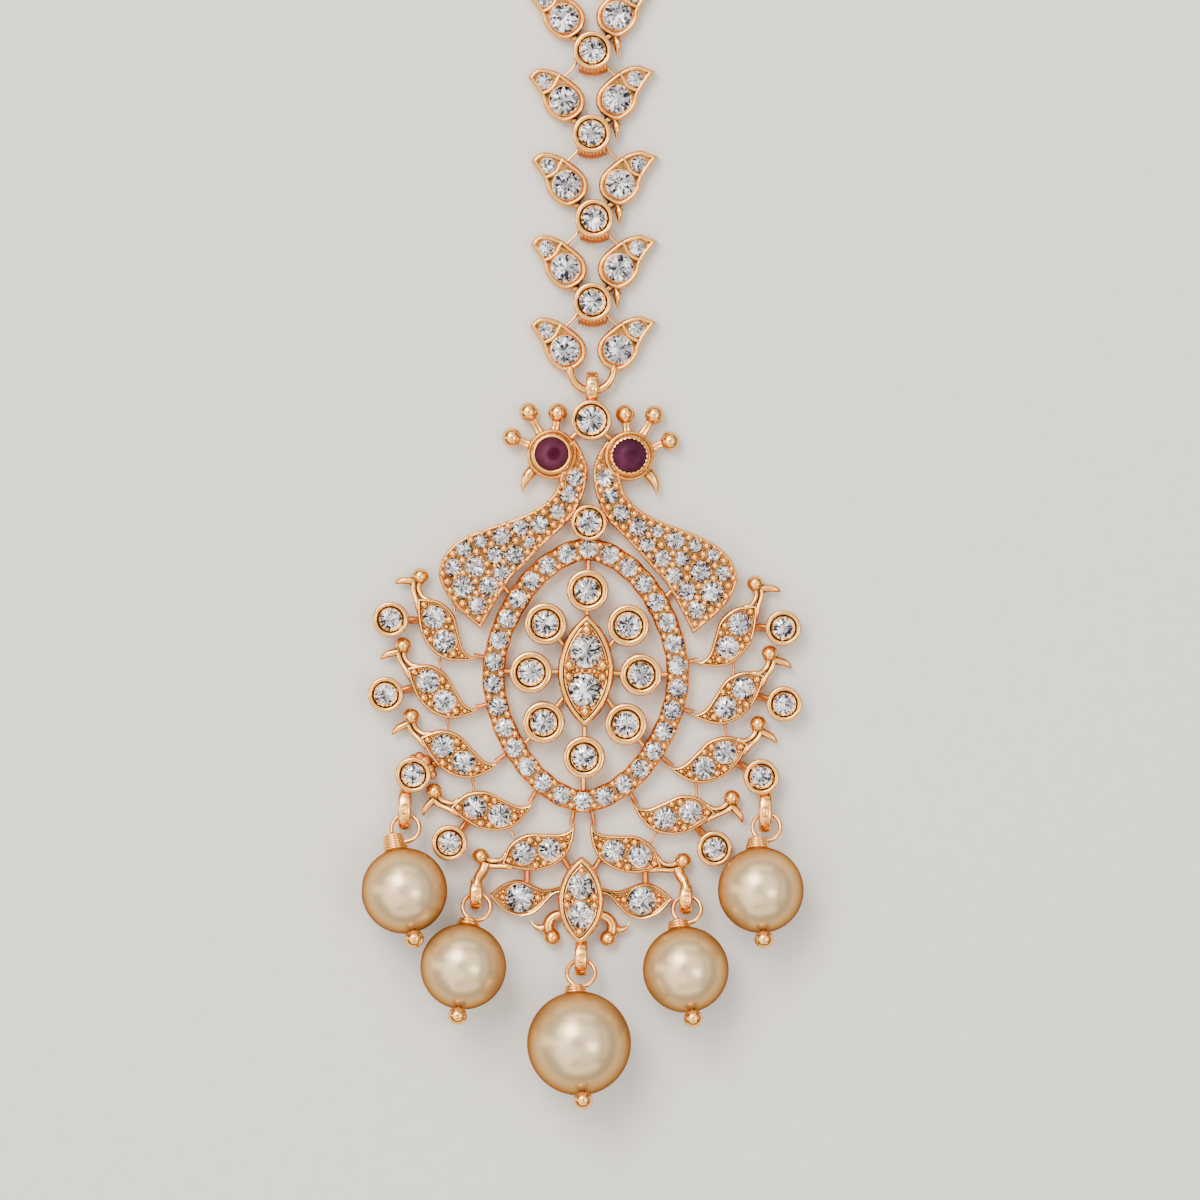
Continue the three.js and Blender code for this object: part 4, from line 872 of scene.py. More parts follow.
# Lower marquise's two small leaves and curled heads
# The small leaf holds one stone in its own cup. Below it a curl of gold ends in a ball with a fine
# tip turned up beside it. Pegs of solder tie the group to the leaves above.
SMALL_LEAF_LENGTH = 5.0
SMALL_LEAF_WIDTH = 2.6
SMALL_LEAF = [
    (0.435, 0.07), (0.244, 0.377), (0.024, 0.5), (-0.18, 0.37), (-0.335, 0.265), (-0.47, 0.29), (-0.62, 0.37),
    (-0.6, 0.2), (-0.48, 0.1), (-0.39, -0.08), (-0.24, -0.38), (-0.1, -0.49), (0.044, -0.508), (0.264, -0.315),
]
SMALL_RIM = [(0, 0.3), (0.04, 0.12), (0.11, 0.02), (0.17, 0.04), (0.19, 0.24), (0.23, 0.24), (0.25, 0.1), (0.3, 0.12),
             (0.34, 0.38), (0.5, 0.38)]
SMALL_BEADS = [(-1.22, 0.21), (1.3, 0.25), (1.72, 0.14)]      # away from the middle of the piece, radius
# across and along from the middle of the marquise, half thickness
CURL_STRAND = [(1.4, -1.0, 0.34), (1.95, -1.22, 0.38), (2.28, -1.7, 0.42), (2.24, -2.22, 0.44), (2.03, -2.6, 0.44)]
CURL_HORN = [(2.4, -1.97, 0.3), (2.78, -2.05, 0.29), (3.14, -1.97, 0.2), (3.4, -1.74, 0.1), (3.5, -1.5, 0.04)]
CURL_KNOB = (1.99, -2.68)
PEG_REACH = {"left": 3.88, "right": 4.53}


def lower_side(side_name, side):
    """Makes one small leaf with its curl and gives back its pegs of solder"""
    middle_y = LOW_MARQUISE_MIDDLE[1]
    stone = np.array([side * (LOW_WIDTH * 0.45 + 0.576 * SMALL_LEAF_LENGTH), middle_y + 0.09])
    line = smooth_line(SMALL_LEAF + SMALL_LEAF[:1], 6)[:-1]
    outline = counter_clockwise(
        np.array([stone + (side * x * SMALL_LEAF_LENGTH, y * SMALL_LEAF_WIDTH) for x, y in line]))
    top = SHEET + 0.5
    shapes = [plate(outline, top, SMALL_RIM)]
    single_stones.append((f"small_leaf_stone_{side_name}", stone, LOW_STONE, MARQUISE_HEIGHT))
    seat_places.append((*stone, top - 0.1, LOW_STONE / 2 + 0.02))
    taken = [(*stone, LOW_STONE + 0.2)]
    for across, radius in SMALL_BEADS:
        at = (stone[0] - side * across, stone[1] + 0.05)
        bead_places.append((*at, top - 0.1, 1.15 * radius))
        taken.append((*at, 2.3 * radius))
    grains(inwards(outline, 0.33), taken, top - SMALL_RIM[-1][1], **FINE_GRAINS)
    for rows in (CURL_STRAND, CURL_HORN):
        shapes.append(strand([(side * x, middle_y + y, 0.6, r) for x, y, r in rows], 5, 14))
    shapes.append(ball((side * CURL_KNOB[0], middle_y + CURL_KNOB[1], HEAD_BALL * 0.6), HEAD_BALL * 0.5, 24))
    frame_casting(f"small_leaf_{side_name}", shapes, 55, 0.02, shade_sunk_floors=True)
    peg = side * PEG_REACH[side_name]
    return [solder_bar((peg, -13.7), (peg + 0.03, -14.95), 0.5, 0.2, 0.95),
            solder_bar((side * 1.35, -13.0), (side * 0.75, -14.0), 0.45, 0.2, 0.95)]


lower_solder = sum([lower_side(side_name, side) for side_name, side in SIDES], [])
seat_piece(object_of("lower_solder", lower_solder, solder_gold, 60, 0.05))

# Bails: straps bent to an oval and standing on edge
# Each strap is soldered to the casting at one end and carries a pearl or the chain at the other.
# A small slot is left on its back where its ends met. Two hang from the lowest leaves' heads by
# short curved arms.
BAIL_WIDTH = 0.88
BAIL_STRAP = 0.4
BAIL_HEIGHT = 1.9
BAIL_LENGTH = 3.0
SHORT_BAIL_LENGTH = 2.3
BOTTOM_BAIL_LENGTH = 2.6
BAIL_SHIFT = {"left": -0.55, "right": 0.35}
BAIL_SECTION = 0.8                # power that gives the strap its squarish section
LEAF_BALL = (-0.726, -0.056)
ARM = [(-0.42, -0.45, 0.85), (-0.24, -0.95, 0.95), (0.05, -1.4, 1.15), (0.17, -1.85, 1.35), (0.2, -2.3, 1.4)]
LOWER_TIP = np.array((0.1, LOW_MARQUISE_MIDDLE[1] - LOW_LENGTH / 2 + 0.35))


def squarish(share):
    return np.sign(share) * abs(share) ** BAIL_SECTION


def bail(start, length):
    """A bent strap from its near end at the start, running down in the picture"""
    middle_y = start[1] - length / 2
    across, up = length / 2 - BAIL_STRAP / 2, BAIL_HEIGHT / 2 - BAIL_STRAP / 2
    rows, sides = 60, 28
    points = []
    for row in range(rows):
        turn = 2 * math.pi * row / rows
        way = np.array([math.cos(turn) * up, math.sin(turn) * across])
        way /= np.linalg.norm(way)
        wide = BAIL_WIDTH / 2 * (0.98 + 0.1 * abs(math.sin(turn)) ** 1.5)
        for i in range(sides):
            round_turn = 2 * math.pi * i / sides
            x = wide * squarish(math.cos(round_turn))
            off = BAIL_STRAP / 2 * squarish(math.sin(round_turn))
            y = across * math.cos(turn) + off * way[0]
            z = up * math.sin(turn) + off * way[1]
            if off > 0 and z > 0.5 and abs(x) < 0.09 and abs(y) < 0.2:
                z -= 0.16
            points.append((start[0] + x, middle_y + y, BAIL_HEIGHT / 2 + z))
    return np.array(points), ring_faces(rows, sides, hoop=True)


bail_ends = {"bottom": (LOWER_TIP, BOTTOM_BAIL_LENGTH)}
bail_arms = []
for side_name, side in SIDES:
    cup_edge = (BAIL_SHIFT[side_name], 1.2 * SOLDER - seat_radius(SIDE_STONE) - SIDE_WALL)
    bail_ends[f"side_{side_name}"] = (side_setting(LEAVES[2], side) + cup_edge, BAIL_LENGTH)
    knob = leaf_placer(LEAVES[-1], side)(*LEAF_BALL)
    bail_ends[f"low_{side_name}"] = (knob + (side * 0.2, -HEAD_BALL - SOLDER), SHORT_BAIL_LENGTH)
    arm = smooth_line([(knob[0] + side * x, knob[1] + y, z) for x, y, z in ARM], 6)
    bail_arms.append(tube(arm, np.linspace(0.4, 0.36, len(arm)), 16))
TOP_BAIL_END = TOP_SETTING + (0, seat_radius(TOP_STONE) + HEAD_WALL - SOLDER + SHORT_BAIL_LENGTH)
frame_casting("bails", [bail(*end) for end in [*bail_ends.values(), (TOP_BAIL_END, SHORT_BAIL_LENGTH)]], 60, 0.015)
frame_casting("bail_solder", bail_arms, 60, 0.04)

# Tie wires between neighbouring leaves
# Fine wires with a drop of solder at each end keep the leaves apart. Here Geometry Nodes run a round
# profile along a line that carries its thickness; pins, chain and hook are made by the same tree.
TIES = [
    ((-10.45, 0.95), (-10.43, 0.15)), ((-9.78, -3.35), (-9.76, -4.7)), ((-7.9, -7.6), (-7.85, -8.8)),
    ((-5.3, -10.75), (-4.95, -11.6)), ((10.48, 1.15), (10.5, 0.2)), ((10.0, -3.3), (10.08, -4.7)),
    ((8.02, -7.5), (8.06, -8.8)), ((5.35, -10.9), (4.85, -11.85)), ((-9.6, 5.2), (-9.45, 4.3)),
]
TIE_THICKNESS = [0.3, 0.16, 0.3]  # at its ends and middle


def nodes_on_marks(name, inputs):
    """An empty Geometry Nodes tree with named inputs, its input node, and the marks' own size"""
    tree = bpy.data.node_groups.new(name, "GeometryNodeTree")
    tree.is_modifier = True
    for label, kind in inputs:
        tree.interface.new_socket(label, in_out="INPUT", socket_type="NodeSocket" + kind)
    tree.interface.new_socket("Metal", in_out="OUTPUT", socket_type="NodeSocketGeometry")
    size = add_node(tree, "GeometryNodeInputNamedAttribute", {"data_type": "FLOAT", "Name": "size"})
    return tree, add_node(tree, "NodeGroupInput").outputs, size


def wire_tree():
    tree, given, size = nodes_on_marks("wire_along_line", [("Line", "Geometry"), ("Sides", "Int"),
                                                           ("Finish", "Material")])
    curve = add_node(tree, "GeometryNodeMeshToCurve", links={"Mesh": given["Line"]})
    profile = add_node(tree, "GeometryNodeCurvePrimitiveCircle", {"mode": "RADIUS", "Radius": 1.0},
                       {"Resolution": given["Sides"]})
    swept = add_node(tree, "GeometryNodeCurveToMesh", {"Fill Caps": True},
                     {"Curve": curve, "Profile Curve": profile, "Scale": size})
    whole = add_node(tree, "GeometryNodeRealizeInstances", links={"Geometry": swept})
    coated = add_node(tree, "GeometryNodeSetMaterial", links={"Geometry": whole, "Material": given["Finish"]})
    add_node(tree, "NodeGroupOutput", links={"Metal": coated})
    return tree


def marks(points, sizes, edges=()):
    """Loose points in mm, or lines of them, that each carry a size"""
    mesh = bpy.data.meshes.new("marks")
    mesh.from_pydata((np.asarray(points, float) * MM).tolist(), edges, [])
    size = mesh.attributes.new("size", "FLOAT", "POINT")
    size.data.foreach_set("value", np.asarray(sizes, np.float32))
    return mesh


def grown(name, base_mesh, tree, inputs, sharp_from=None):
    """The plain mesh that a Geometry Nodes tree grows on a base mesh"""
    base = in_scene(name + "_base", base_mesh)
    modifier = base.modifiers.new("grow", "NODES")
    modifier.node_group = tree
    for socket in tree.interface.items_tree:
        if socket.in_out == "INPUT" and socket.name in inputs:
            modifier[socket.identifier] = inputs[socket.name]
    bpy.context.view_layer.update()
    mesh = bpy.data.meshes.new_from_object(base.evaluated_get(bpy.context.evaluated_depsgraph_get()))
    mesh.name = name
    keep_inside(mesh)
    bpy.data.objects.remove(base)
    if sharp_from is not None:
        polished(mesh, sharp_from)
    return in_scene(name, mesh)


def wires(name, lines, finish, sides=14):
    """Round wires from lines of (points, thickness, closed)"""
    points, edges, sizes = [], [], []
    for path, thickness, closed in lines:
        start, count = len(points), len(path)
        points += [tuple(point) for point in path]
        edges += [(start + i, start + i + 1) for i in range(count - 1)]
        if closed:
            edges.append((start + count - 1, start))
        sizes += list(np.broadcast_to(np.asarray(thickness) / 2 * MM, count))
    return grown(name, marks(points, sizes, edges), wire_along_line, {"Sides": sides, "Finish": finish}, 60)


wire_along_line = wire_tree()
tie_lines = []
for start, end in TIES:
    middle = np.add(start, end) / 2 + (0.05, 0)
    path = smooth_line([(*start, 0.75), (*middle, 0.72), (*end, 0.75)], 6)
    tie_lines.append((path, np.interp(np.linspace(-1, 1, len(path)), [-1, 0, 1], TIE_THICKNESS), False))
seat_piece(wires("tie_wires", tie_lines, solder_gold, 10))

# Beads, bright-cut seats and small stones of the pendant
# The setter cuts a bright seat for each stone and raises beads of metal with a rounded punch to hold
# it. Here Geometry Nodes put a bead, seat or stone at every place that the pieces above marked.
SEAT_PROFILE = [(1.12, -0.4), (1.1, 0.0), (1.07, 0.06), (1.03, 0.07), (0.99, 0.0), (0.97, -0.3)]
# painted reflections, by the share of light from which a facet has the shade: dark room, dim lamps, bright lamps
PAINTED_STONE_REFLECTIONS = [(0.0, "#26242c"), (0.34, "#5c5965"), (0.42, "#9c99a4"), (0.49, "#d2d1d8"), (0.55, "#ffffff")]


def scatter_tree():
    tree, given, size = nodes_on_marks("set_on_places", [("Places", "Geometry"), ("Piece", "Object"),
                                                         ("Finish", "Material"), ("Lean", "Float"), ("Seed", "Int")])
    piece = add_node(tree, "GeometryNodeObjectInfo", links={"Object": given["Piece"]})
    back = add_node(tree, "ShaderNodeMath", {"operation": "MULTIPLY", 1: -1.0}, {0: given["Lean"]})
    low = add_node(tree, "ShaderNodeCombineXYZ", {"Z": 0.0}, {"X": back, "Y": back})
    high = add_node(tree, "ShaderNodeCombineXYZ", {"Z": 2 * math.pi}, {"X": given["Lean"], "Y": given["Lean"]})
    turn = add_node(tree, "FunctionNodeRandomValue", {"data_type": "FLOAT_VECTOR"},
                    {0: low, 1: high, "Seed": given["Seed"]})
    spots = add_node(tree, "GeometryNodeMeshToPoints", links={"Mesh": given["Places"]})
    copies = add_node(tree, "GeometryNodeInstanceOnPoints",
                      links={"Points": spots, "Instance": piece.outputs["Geometry"], "Rotation": turn, "Scale": size})
    whole = add_node(tree, "GeometryNodeRealizeInstances", links={"Geometry": copies})
    # a random painted brightness for each face, which the stone finish reads
    chance = add_node(tree, "FunctionNodeRandomValue", {"data_type": "FLOAT"}, {"Seed": given["Seed"]})
    marked = add_node(tree, "GeometryNodeStoreNamedAttribute",
                      {"data_type": "FLOAT", "domain": "FACE", "Name": "flash"},
                      {"Geometry": whole, "Value": chance.outputs[1]})
    coated = add_node(tree, "GeometryNodeSetMaterial", links={"Geometry": marked, "Material": given["Finish"]})
    add_node(tree, "NodeGroupOutput", links={"Metal": coated})
    return tree


def pattern_of(name, shape):
    """One copy of what is set many times, 1 mm in radius, kept out of the scene, with painted shade on its lower part
    """
    mesh = mesh_of(name, [shape])
    spots = np.empty(3 * len(mesh.vertices), np.float32)
    mesh.vertices.foreach_get("co", spots)
    spots /= MM
    # painted shade, darker towards the bottom of each bead and seat
    painted_shade = mesh.attributes.new("painted_shade", "FLOAT", "POINT")
    painted_shade.data.foreach_set("value", np.clip(0.3 - 1.1 * spots[2::3], 0, 1))
    cut = mesh.attributes.new("cut", "FLOAT_VECTOR", "POINT")
    cut.data.foreach_set("vector", spots)
    return bpy.data.objects.new(name, mesh)


def set_pieces(name, places, pattern, finish, lean=0.0, seed=1, sharp_from=None):
    rows = np.asarray(places, float)
    return grown(name, marks(rows[:, :3], rows[:, 3]), set_on_places,
                 {"Piece": pattern, "Finish": finish, "Lean": math.radians(lean), "Seed": seed}, sharp_from)


def brilliant(crown=0.34, depth=0.42):
    """A cut stone: a star of wedges under the table, two rows of facets, a plain cone below"""
    points = []

    def circle(radius, height, count, offset=0.0):
        start = len(points)
        for i in range(count):
            turn = 2 * math.pi * (i + offset) / count
            points.append((radius * math.cos(turn), radius * math.sin(turn), height))
        return range(start, start + count)

    middle = circle(0.0001, crown * 0.93, 1)[0]
    star = circle(0.47, crown, 16)
    kite = circle(0.76, crown * 0.6, 16, 0.5)
    girdle = circle(1.0, 0.0, 16)
    foot = circle(0.55, -depth, 8)
    faces = []
    for i in range(16):
        j = (i + 1) % 16
        faces += [[middle, star[i], star[j]], [star[i], kite[i], star[j]], [star[j], kite[i], girdle[j], kite[j]],
                  [kite[i], girdle[i], girdle[j]]]
    for i in range(8):
        faces += [[girdle[2 * i], foot[i], girdle[2 * i + 1]],
                  [girdle[2 * i + 1], foot[i], foot[(i + 1) % 8], girdle[(2 * i + 2) % 16]]]
    return np.array(points), faces + [list(foot)]


def cut_stone_material(name, shades):
    """Clear stone with painted reflections: each facet is painted with the light or the dark of the room,
    and painted patches, as of facets seen through facets, break that into fine angular patches"""
    material, tree = new_material(name)
    flash = add_node(tree, "ShaderNodeAttribute", {"attribute_name": "flash"})
    cut = add_node(tree, "ShaderNodeAttribute", {"attribute_name": "cut"}).outputs["Vector"]
    place = add_node(tree, "ShaderNodeTexCoord")
    here = add_node(tree, "ShaderNodeSeparateXYZ", links={"Vector": cut})
    bearing = add_node(tree, "ShaderNodeMath", {"operation": "ARCTAN2"}, {0: here.outputs["Y"], 1: here.outputs["X"]})
    reach = add_node(tree, "ShaderNodeVectorMath", {"operation": "LENGTH"}, {0: cut})
    whose = add_node(tree, "ShaderNodeVectorMath", {"operation": "DOT_PRODUCT", 1: (900.0, 1300.0, 0.0)},
                     {0: place.outputs["Object"]})
    polar = add_node(tree, "ShaderNodeCombineXYZ",
                     links={"X": bearing, "Y": reach.outputs["Value"], "Z": whose.outputs["Value"]})
    # painted reflections: a random share per facet plus angular patches, turned into shades by the ramp
    light = add_node(tree, "ShaderNodeMath", {"operation": "MULTIPLY", 1: 0.28}, {0: flash.outputs["Fac"]})
    for turns, rows, share in ((2.7, 3.2, 0.36), (7.0, 7.4, 0.4)):
        spread = add_node(tree, "ShaderNodeVectorMath", {"operation": "MULTIPLY", 1: (turns, rows, 1.0)}, {0: polar})
        shards = add_node(tree, "ShaderNodeTexVoronoi", {"distance": "CHEBYCHEV", "Scale": 1.0}, {"Vector": spread})
        shard = add_node(tree, "ShaderNodeSeparateColor", links={"Color": shards.outputs["Color"]})
        light = add_node(tree, "ShaderNodeMath", {"operation": "MULTIPLY_ADD", 1: share}, {0: shard, 2: light})
    ramp = add_node(tree, "ShaderNodeValToRGB", links={"Fac": light})
    ramp.color_ramp.interpolation = "CONSTANT"
    while len(ramp.color_ramp.elements) < len(shades):
        ramp.color_ramp.elements.new(0.5)
    for element, (position, shade) in zip(ramp.color_ramp.elements, shades):
        element.position = position
        element.color = linear(shade)
    gem = add_node(tree, "ShaderNodeBsdfPrincipled", {"Roughness": 0.06, "Metallic": 0.65, "IOR": 1.9},
                   {"Base Color": ramp})
    add_node(tree, "ShaderNodeOutputMaterial", links={"Surface": gem})
    return material


set_on_places = scatter_tree()
clear_stone = cut_stone_material("cut_clear_stone", PAINTED_STONE_REFLECTIONS)
bead_pattern = pattern_of("bead", ball((0, 0, 0), 1.0, 10))
seat_pattern = pattern_of("bright_cut_seat", turned(SEAT_PROFILE, (0, 0), 20))
stone_pattern = pattern_of("brilliant", brilliant())
seat_piece(set_pieces("bright_cut_seats", seat_places, seat_pattern, rose_gold, sharp_from=50))
seat_piece(set_pieces("grain_beads", bead_places, bead_pattern, rose_gold, 12, 4, 180))
seat_piece(set_pieces("pave_stones", pave_places, stone_pattern, clear_stone, 5, 7))

# Single cut stones
# The larger stones in cups and marquises, pushed in from above until the lip closes on them. They
# are cut alike, each with a slightly different lean and turn.
STONE_SINK = 0.22
for index, (name, at, diameter, top) in enumerate(single_stones):
    stone = set_pieces(name, [(*at, top - STONE_SINK, diameter / 2 * 0.995)], stone_pattern, clear_stone, 4, 20 + index)
    seat_piece(stone, name)

# Rubies: two red cabochons in the birds' eyes
# Domed and polished stones, cloudy inside, each with a darker round patch of painted reflection.
# The left one is darker, the right one more purple.
EYE_DOME = 1.05
EYE_FLOOR = 1.25
RUBY_CLOUD = 1.4286 * MM          # the silky clouds in the stone
DARK_REFLECTION_HEIGHT = 2.4 * MM           # the painted dark reflection is a ball at this height
DARK_REFLECTION_EDGE = (0.42 * MM, 0.6 * MM)
RUBIES = {
    # deep, middle and pale shade; painted dark reflection: mm across from the middle, strength
    "left": (("#3a1826", "#481e2e", "#562a3a"), 0.15, 1.0), "right": (("#361426", "#421a2e", "#50243c"), 0.1, 0.5),
}


def ruby_material(name, shades, dark_reflection, strength):
    """Red corundum: cloudy and soft, with little gloss, and a darker round patch of painted reflection"""
    material, tree = new_material(name)
    place = add_node(tree, "ShaderNodeTexCoord").outputs["Object"]
    cloud = add_node(tree, "ShaderNodeTexNoise", {"Scale": 1 / RUBY_CLOUD, "Detail": 3.0}, {"Vector": place})
    ramp = add_node(tree, "ShaderNodeValToRGB", links={"Fac": cloud})
    ramp.color_ramp.elements.new(0.5)
    for element, position, shade in zip(ramp.color_ramp.elements, (0.3, 0.5, 0.72), shades):
        element.position = position
        element.color = linear(shade)
    reach = add_node(tree, "ShaderNodeVectorMath", {"operation": "DISTANCE", 1: (*dark_reflection, DARK_REFLECTION_HEIGHT)}, {0: place})
    inside = add_node(tree, "ShaderNodeMapRange", {"From Min": DARK_REFLECTION_EDGE[0], "From Max": DARK_REFLECTION_EDGE[1],
                                                   "To Min": strength, "To Max": 0.0},
                      {"Value": reach.outputs["Value"]})
    # painted reflection: a darker, more purple round patch
    painted_reflection = add_node(tree, "ShaderNodeMix", {"data_type": "RGBA", "blend_type": "MULTIPLY", 7: linear("#c87aa8")},
                    {0: inside, 6: ramp})
    stone = add_node(tree, "ShaderNodeBsdfPrincipled", {"Roughness": 0.3, "IOR": 1.5, "Specular IOR Level": 0.04},
                     {"Base Color": painted_reflection.outputs[2]})
    add_node(tree, "ShaderNodeOutputMaterial", links={"Surface": stone})
    return material


def cabochon(at):
    radius = EYE_STONE / 2
    profile = [(radius, EYE_FLOOR), (radius, EYE_FLOOR + 0.4 * EYE_DOME)]
    for step in range(1, 13):
        turn = math.radians(90 * step / 12)
        profile.append((max(radius * math.cos(turn), 0.005), EYE_FLOOR + EYE_DOME * (0.4 + 0.6 * math.sin(turn))))
    return turned(profile, at, 48)


for side_name, side in SIDES:
    name = f"ruby_{side_name}"
    at = on_bird(side, *EYE_SHARES)
    shades, aside, strength = RUBIES[side_name]
    finish = ruby_material(name, shades, ((at[0] + aside) * MM, at[1] * MM), strength)
    seat_piece(object_of(name, [cabochon(at)], finish, 50), name)

# Pearls and their headpins
# Cream beads on round wire pins. The pin's ball holds the pearl from below. Above the pearl the wire
# is wrapped round its own neck and closes in a loop through the bail.
SMALL_PEARL = 6.12
LARGE_PEARL = 7.4
PIN_WIRE = 0.32
COIL_WIRE = 0.25
PIN_BALL = 1.26
LOOP_RADIUS = 1.0
LOOP_REACH = 1.25
NACRE_CLOUD = 3.8462 * MM         # the coat is uneven over some millimetres
NACRE_GRAIN = 0.3333 * MM         # real plates of nacre are finer; these are as coarse as the render can show
CORE = [(0.1, -0.2), (0.68, -0.12), (0.5, 0.15), (0.2, 0.36), (0.1, 0.36)]  # radius, distance above the pearl
DROPS = [
    # name, bail, across and up from its end, pearl to the side of the loop, longer neck, turn
    ("left_upper", "side_left", 0.1, 0.15, 1.0, 0.28, 14), ("left_lower", "low_left", 0.05, 0.25, 0.45, 0.25, -5),
    ("middle", "bottom", 0.03, 0.25, 0.5, 0.38, 5.5), ("right_lower", "low_right", 0.1, 0.4, 0.75, 0.15, 10),
    ("right_upper", "side_right", 0.1, 0.4, 0.7, 0.38, 4.5),
]


def pearl_material():
    """Pearl essence on a bead: a soft metallic sheen, white in the middle and golden towards the edge,
    where the eye looks through more of the coat"""
    material, tree = new_material("cream_pearl")
    place = add_node(tree, "ShaderNodeTexCoord").outputs["Object"]
    cloud = add_node(tree, "ShaderNodeTexNoise", {"Scale": 1 / NACRE_CLOUD, "Detail": 2.0}, {"Vector": place})
    skin = add_node(tree, "ShaderNodeTexNoise", {"Scale": 1 / NACRE_GRAIN, "Detail": 3.0}, {"Vector": place})
    tint = add_node(tree, "ShaderNodeMix", {"data_type": "RGBA", 6: linear("#e3e6ee"), 7: linear("#eff2f9")},
                    {0: cloud})
    relief = add_node(tree, "ShaderNodeBump", {"Strength": 0.08, "Distance": 0.03 * MM}, {"Height": skin})
    nacre = add_node(tree, "ShaderNodeBsdfPrincipled",
                     {"Roughness": 0.26, "Metallic": 0.55, "Specular Tint": linear("#a0702c"), "Coat Weight": 1.0,
                      "Coat Roughness": 0.2, "Coat IOR": 1.02, "Coat Tint": linear("#e6ca9c")},
                     {"Base Color": tint.outputs[2], "Normal": relief})
    add_node(tree, "ShaderNodeOutputMaterial", links={"Surface": nacre})
    return material


def leant(angle):
    """A turn about X that lifts +Y"""
    return np.array([[1, 0, 0], [0, math.cos(angle), math.sin(angle)], [0, -math.sin(angle), math.cos(angle)]])


def spun(degrees):
    turn = math.radians(degrees)
    return np.array([[math.cos(turn), -math.sin(turn), 0], [math.sin(turn), math.cos(turn), 0], [0, 0, 1]])


def drop_placer(row):
    """From a drop's own frame, with the pin along Y and the pearl at its middle, to the ornament's"""
    name, bail_name, across, up, aside, extra, turn = row
    radius = (LARGE_PEARL if name == "middle" else SMALL_PEARL) / 2
    reach = LOOP_REACH + extra
    lift = math.asin((radius - BAIL_HEIGHT / 2) / (radius + reach + LOOP_RADIUS))
    start, length = bail_ends[bail_name]
    origin = np.array([start[0] + across, start[1] - length + up, BAIL_HEIGHT / 2 + LOOP_RADIUS * math.sin(lift)])

    def place(points):
        return (np.asarray(points, float) + (-aside, -radius - reach, 0)) @ (spun(turn) @ leant(lift)).T + origin

    return place, radius, reach, aside


def along_pin(profile, sides, place):
    """A (radius, distance along the pin) profile turned round the pin"""
    points, faces = turned(profile, (0, 0), sides)
    return place(points[:, [1, 2, 0]]), faces


def pearl_profile(radius):
    edge = math.acos((PIN_WIRE / 2 + 0.06) / radius)
    hole = PIN_WIRE / 2 + 0.03
    turns = [edge * (step / 24 - 1) for step in range(49)]
    skin = [(0.998 * radius * math.cos(turn), 0.998 * radius * math.sin(turn)) for turn in turns]
    return [(hole, -radius + 0.5)] + skin + [(hole, radius - 0.5)]


def united(name, pieces):
    """Several meshes of one material as one piece"""
    material = pieces[0].data.materials[0]
    work = bmesh.new()
    for piece in pieces:
        work.from_mesh(piece.data)
        bpy.data.objects.remove(piece)
    bmesh.ops.remove_doubles(work, verts=work.verts, dist=0.0005 * MM)
    bmesh.ops.recalc_face_normals(work, faces=work.faces)
    mesh = bpy.data.meshes.new(name)
    work.to_mesh(mesh)
    work.free()
    mesh.materials.append(material)
    polished(mesh, 55)
    return in_scene(name, mesh)


def headpin(name, place, radius, reach, aside):
    knob_middle = -radius - 0.02 - PIN_BALL / 2
    knob = [(max(0.7 * math.cos(a), 0.005), knob_middle + PIN_BALL / 2 * math.sin(a))
            for a in np.linspace(-math.pi / 2, math.pi / 2, 17)]
    core = [(wide, radius + above) for wide, above in CORE]
    casting = object_of(name + "_casting", [along_pin(knob, 28, place), along_pin(core, 28, place)], rose_gold, 60)
    middle = np.array([aside, radius + reach, 0])
    neck_top = (0, radius + reach - math.sqrt(max(0.05, LOOP_RADIUS ** 2 - aside ** 2)), 0)
    start = radius - 0.02
    coil_length = max(0.42, neck_top[1] - start - 0.1)
    steps = max(2, round(coil_length / 0.22)) * 16
    coil = []
    for step in range(steps + 1):
        turn = 2 * math.pi * step / 16
        wide = 0.8 - 0.24 * step / steps
        coil.append((wide * math.cos(turn), start + coil_length * step / steps, wide * math.sin(turn)))
    loop = []
    first = math.atan2(neck_top[1] - middle[1], neck_top[0] - middle[0])
    for step in range(49):
        turn = first + 2 * math.pi * step / 48 * 0.985
        loop.append(middle + LOOP_RADIUS * np.array([math.cos(turn), math.sin(turn), 0.0]) + (0, 0, 0.1 * step / 48))
    pin = [(0, -radius - 0.2, 0), (0, radius, 0), neck_top]
    lines = [(place(coil), COIL_WIRE, False), (place(pin), PIN_WIRE, False), (place(loop), PIN_WIRE, False)]
    return united(name, [casting, wires(name + "_wire", lines, rose_gold)])


cream_pearl = pearl_material()
for row in DROPS:
    place, radius, reach, aside = drop_placer(row)
    pearl_name, pin_name = f"pearl_{row[0]}", f"headpin_{row[0]}"
    pearl = object_of(pearl_name, [along_pin(pearl_profile(radius), 64, place)], cream_pearl, 60)
    seat_piece(pearl, pearl_name)
    seat_piece(headpin(pin_name, place, radius, reach, aside), pin_name)

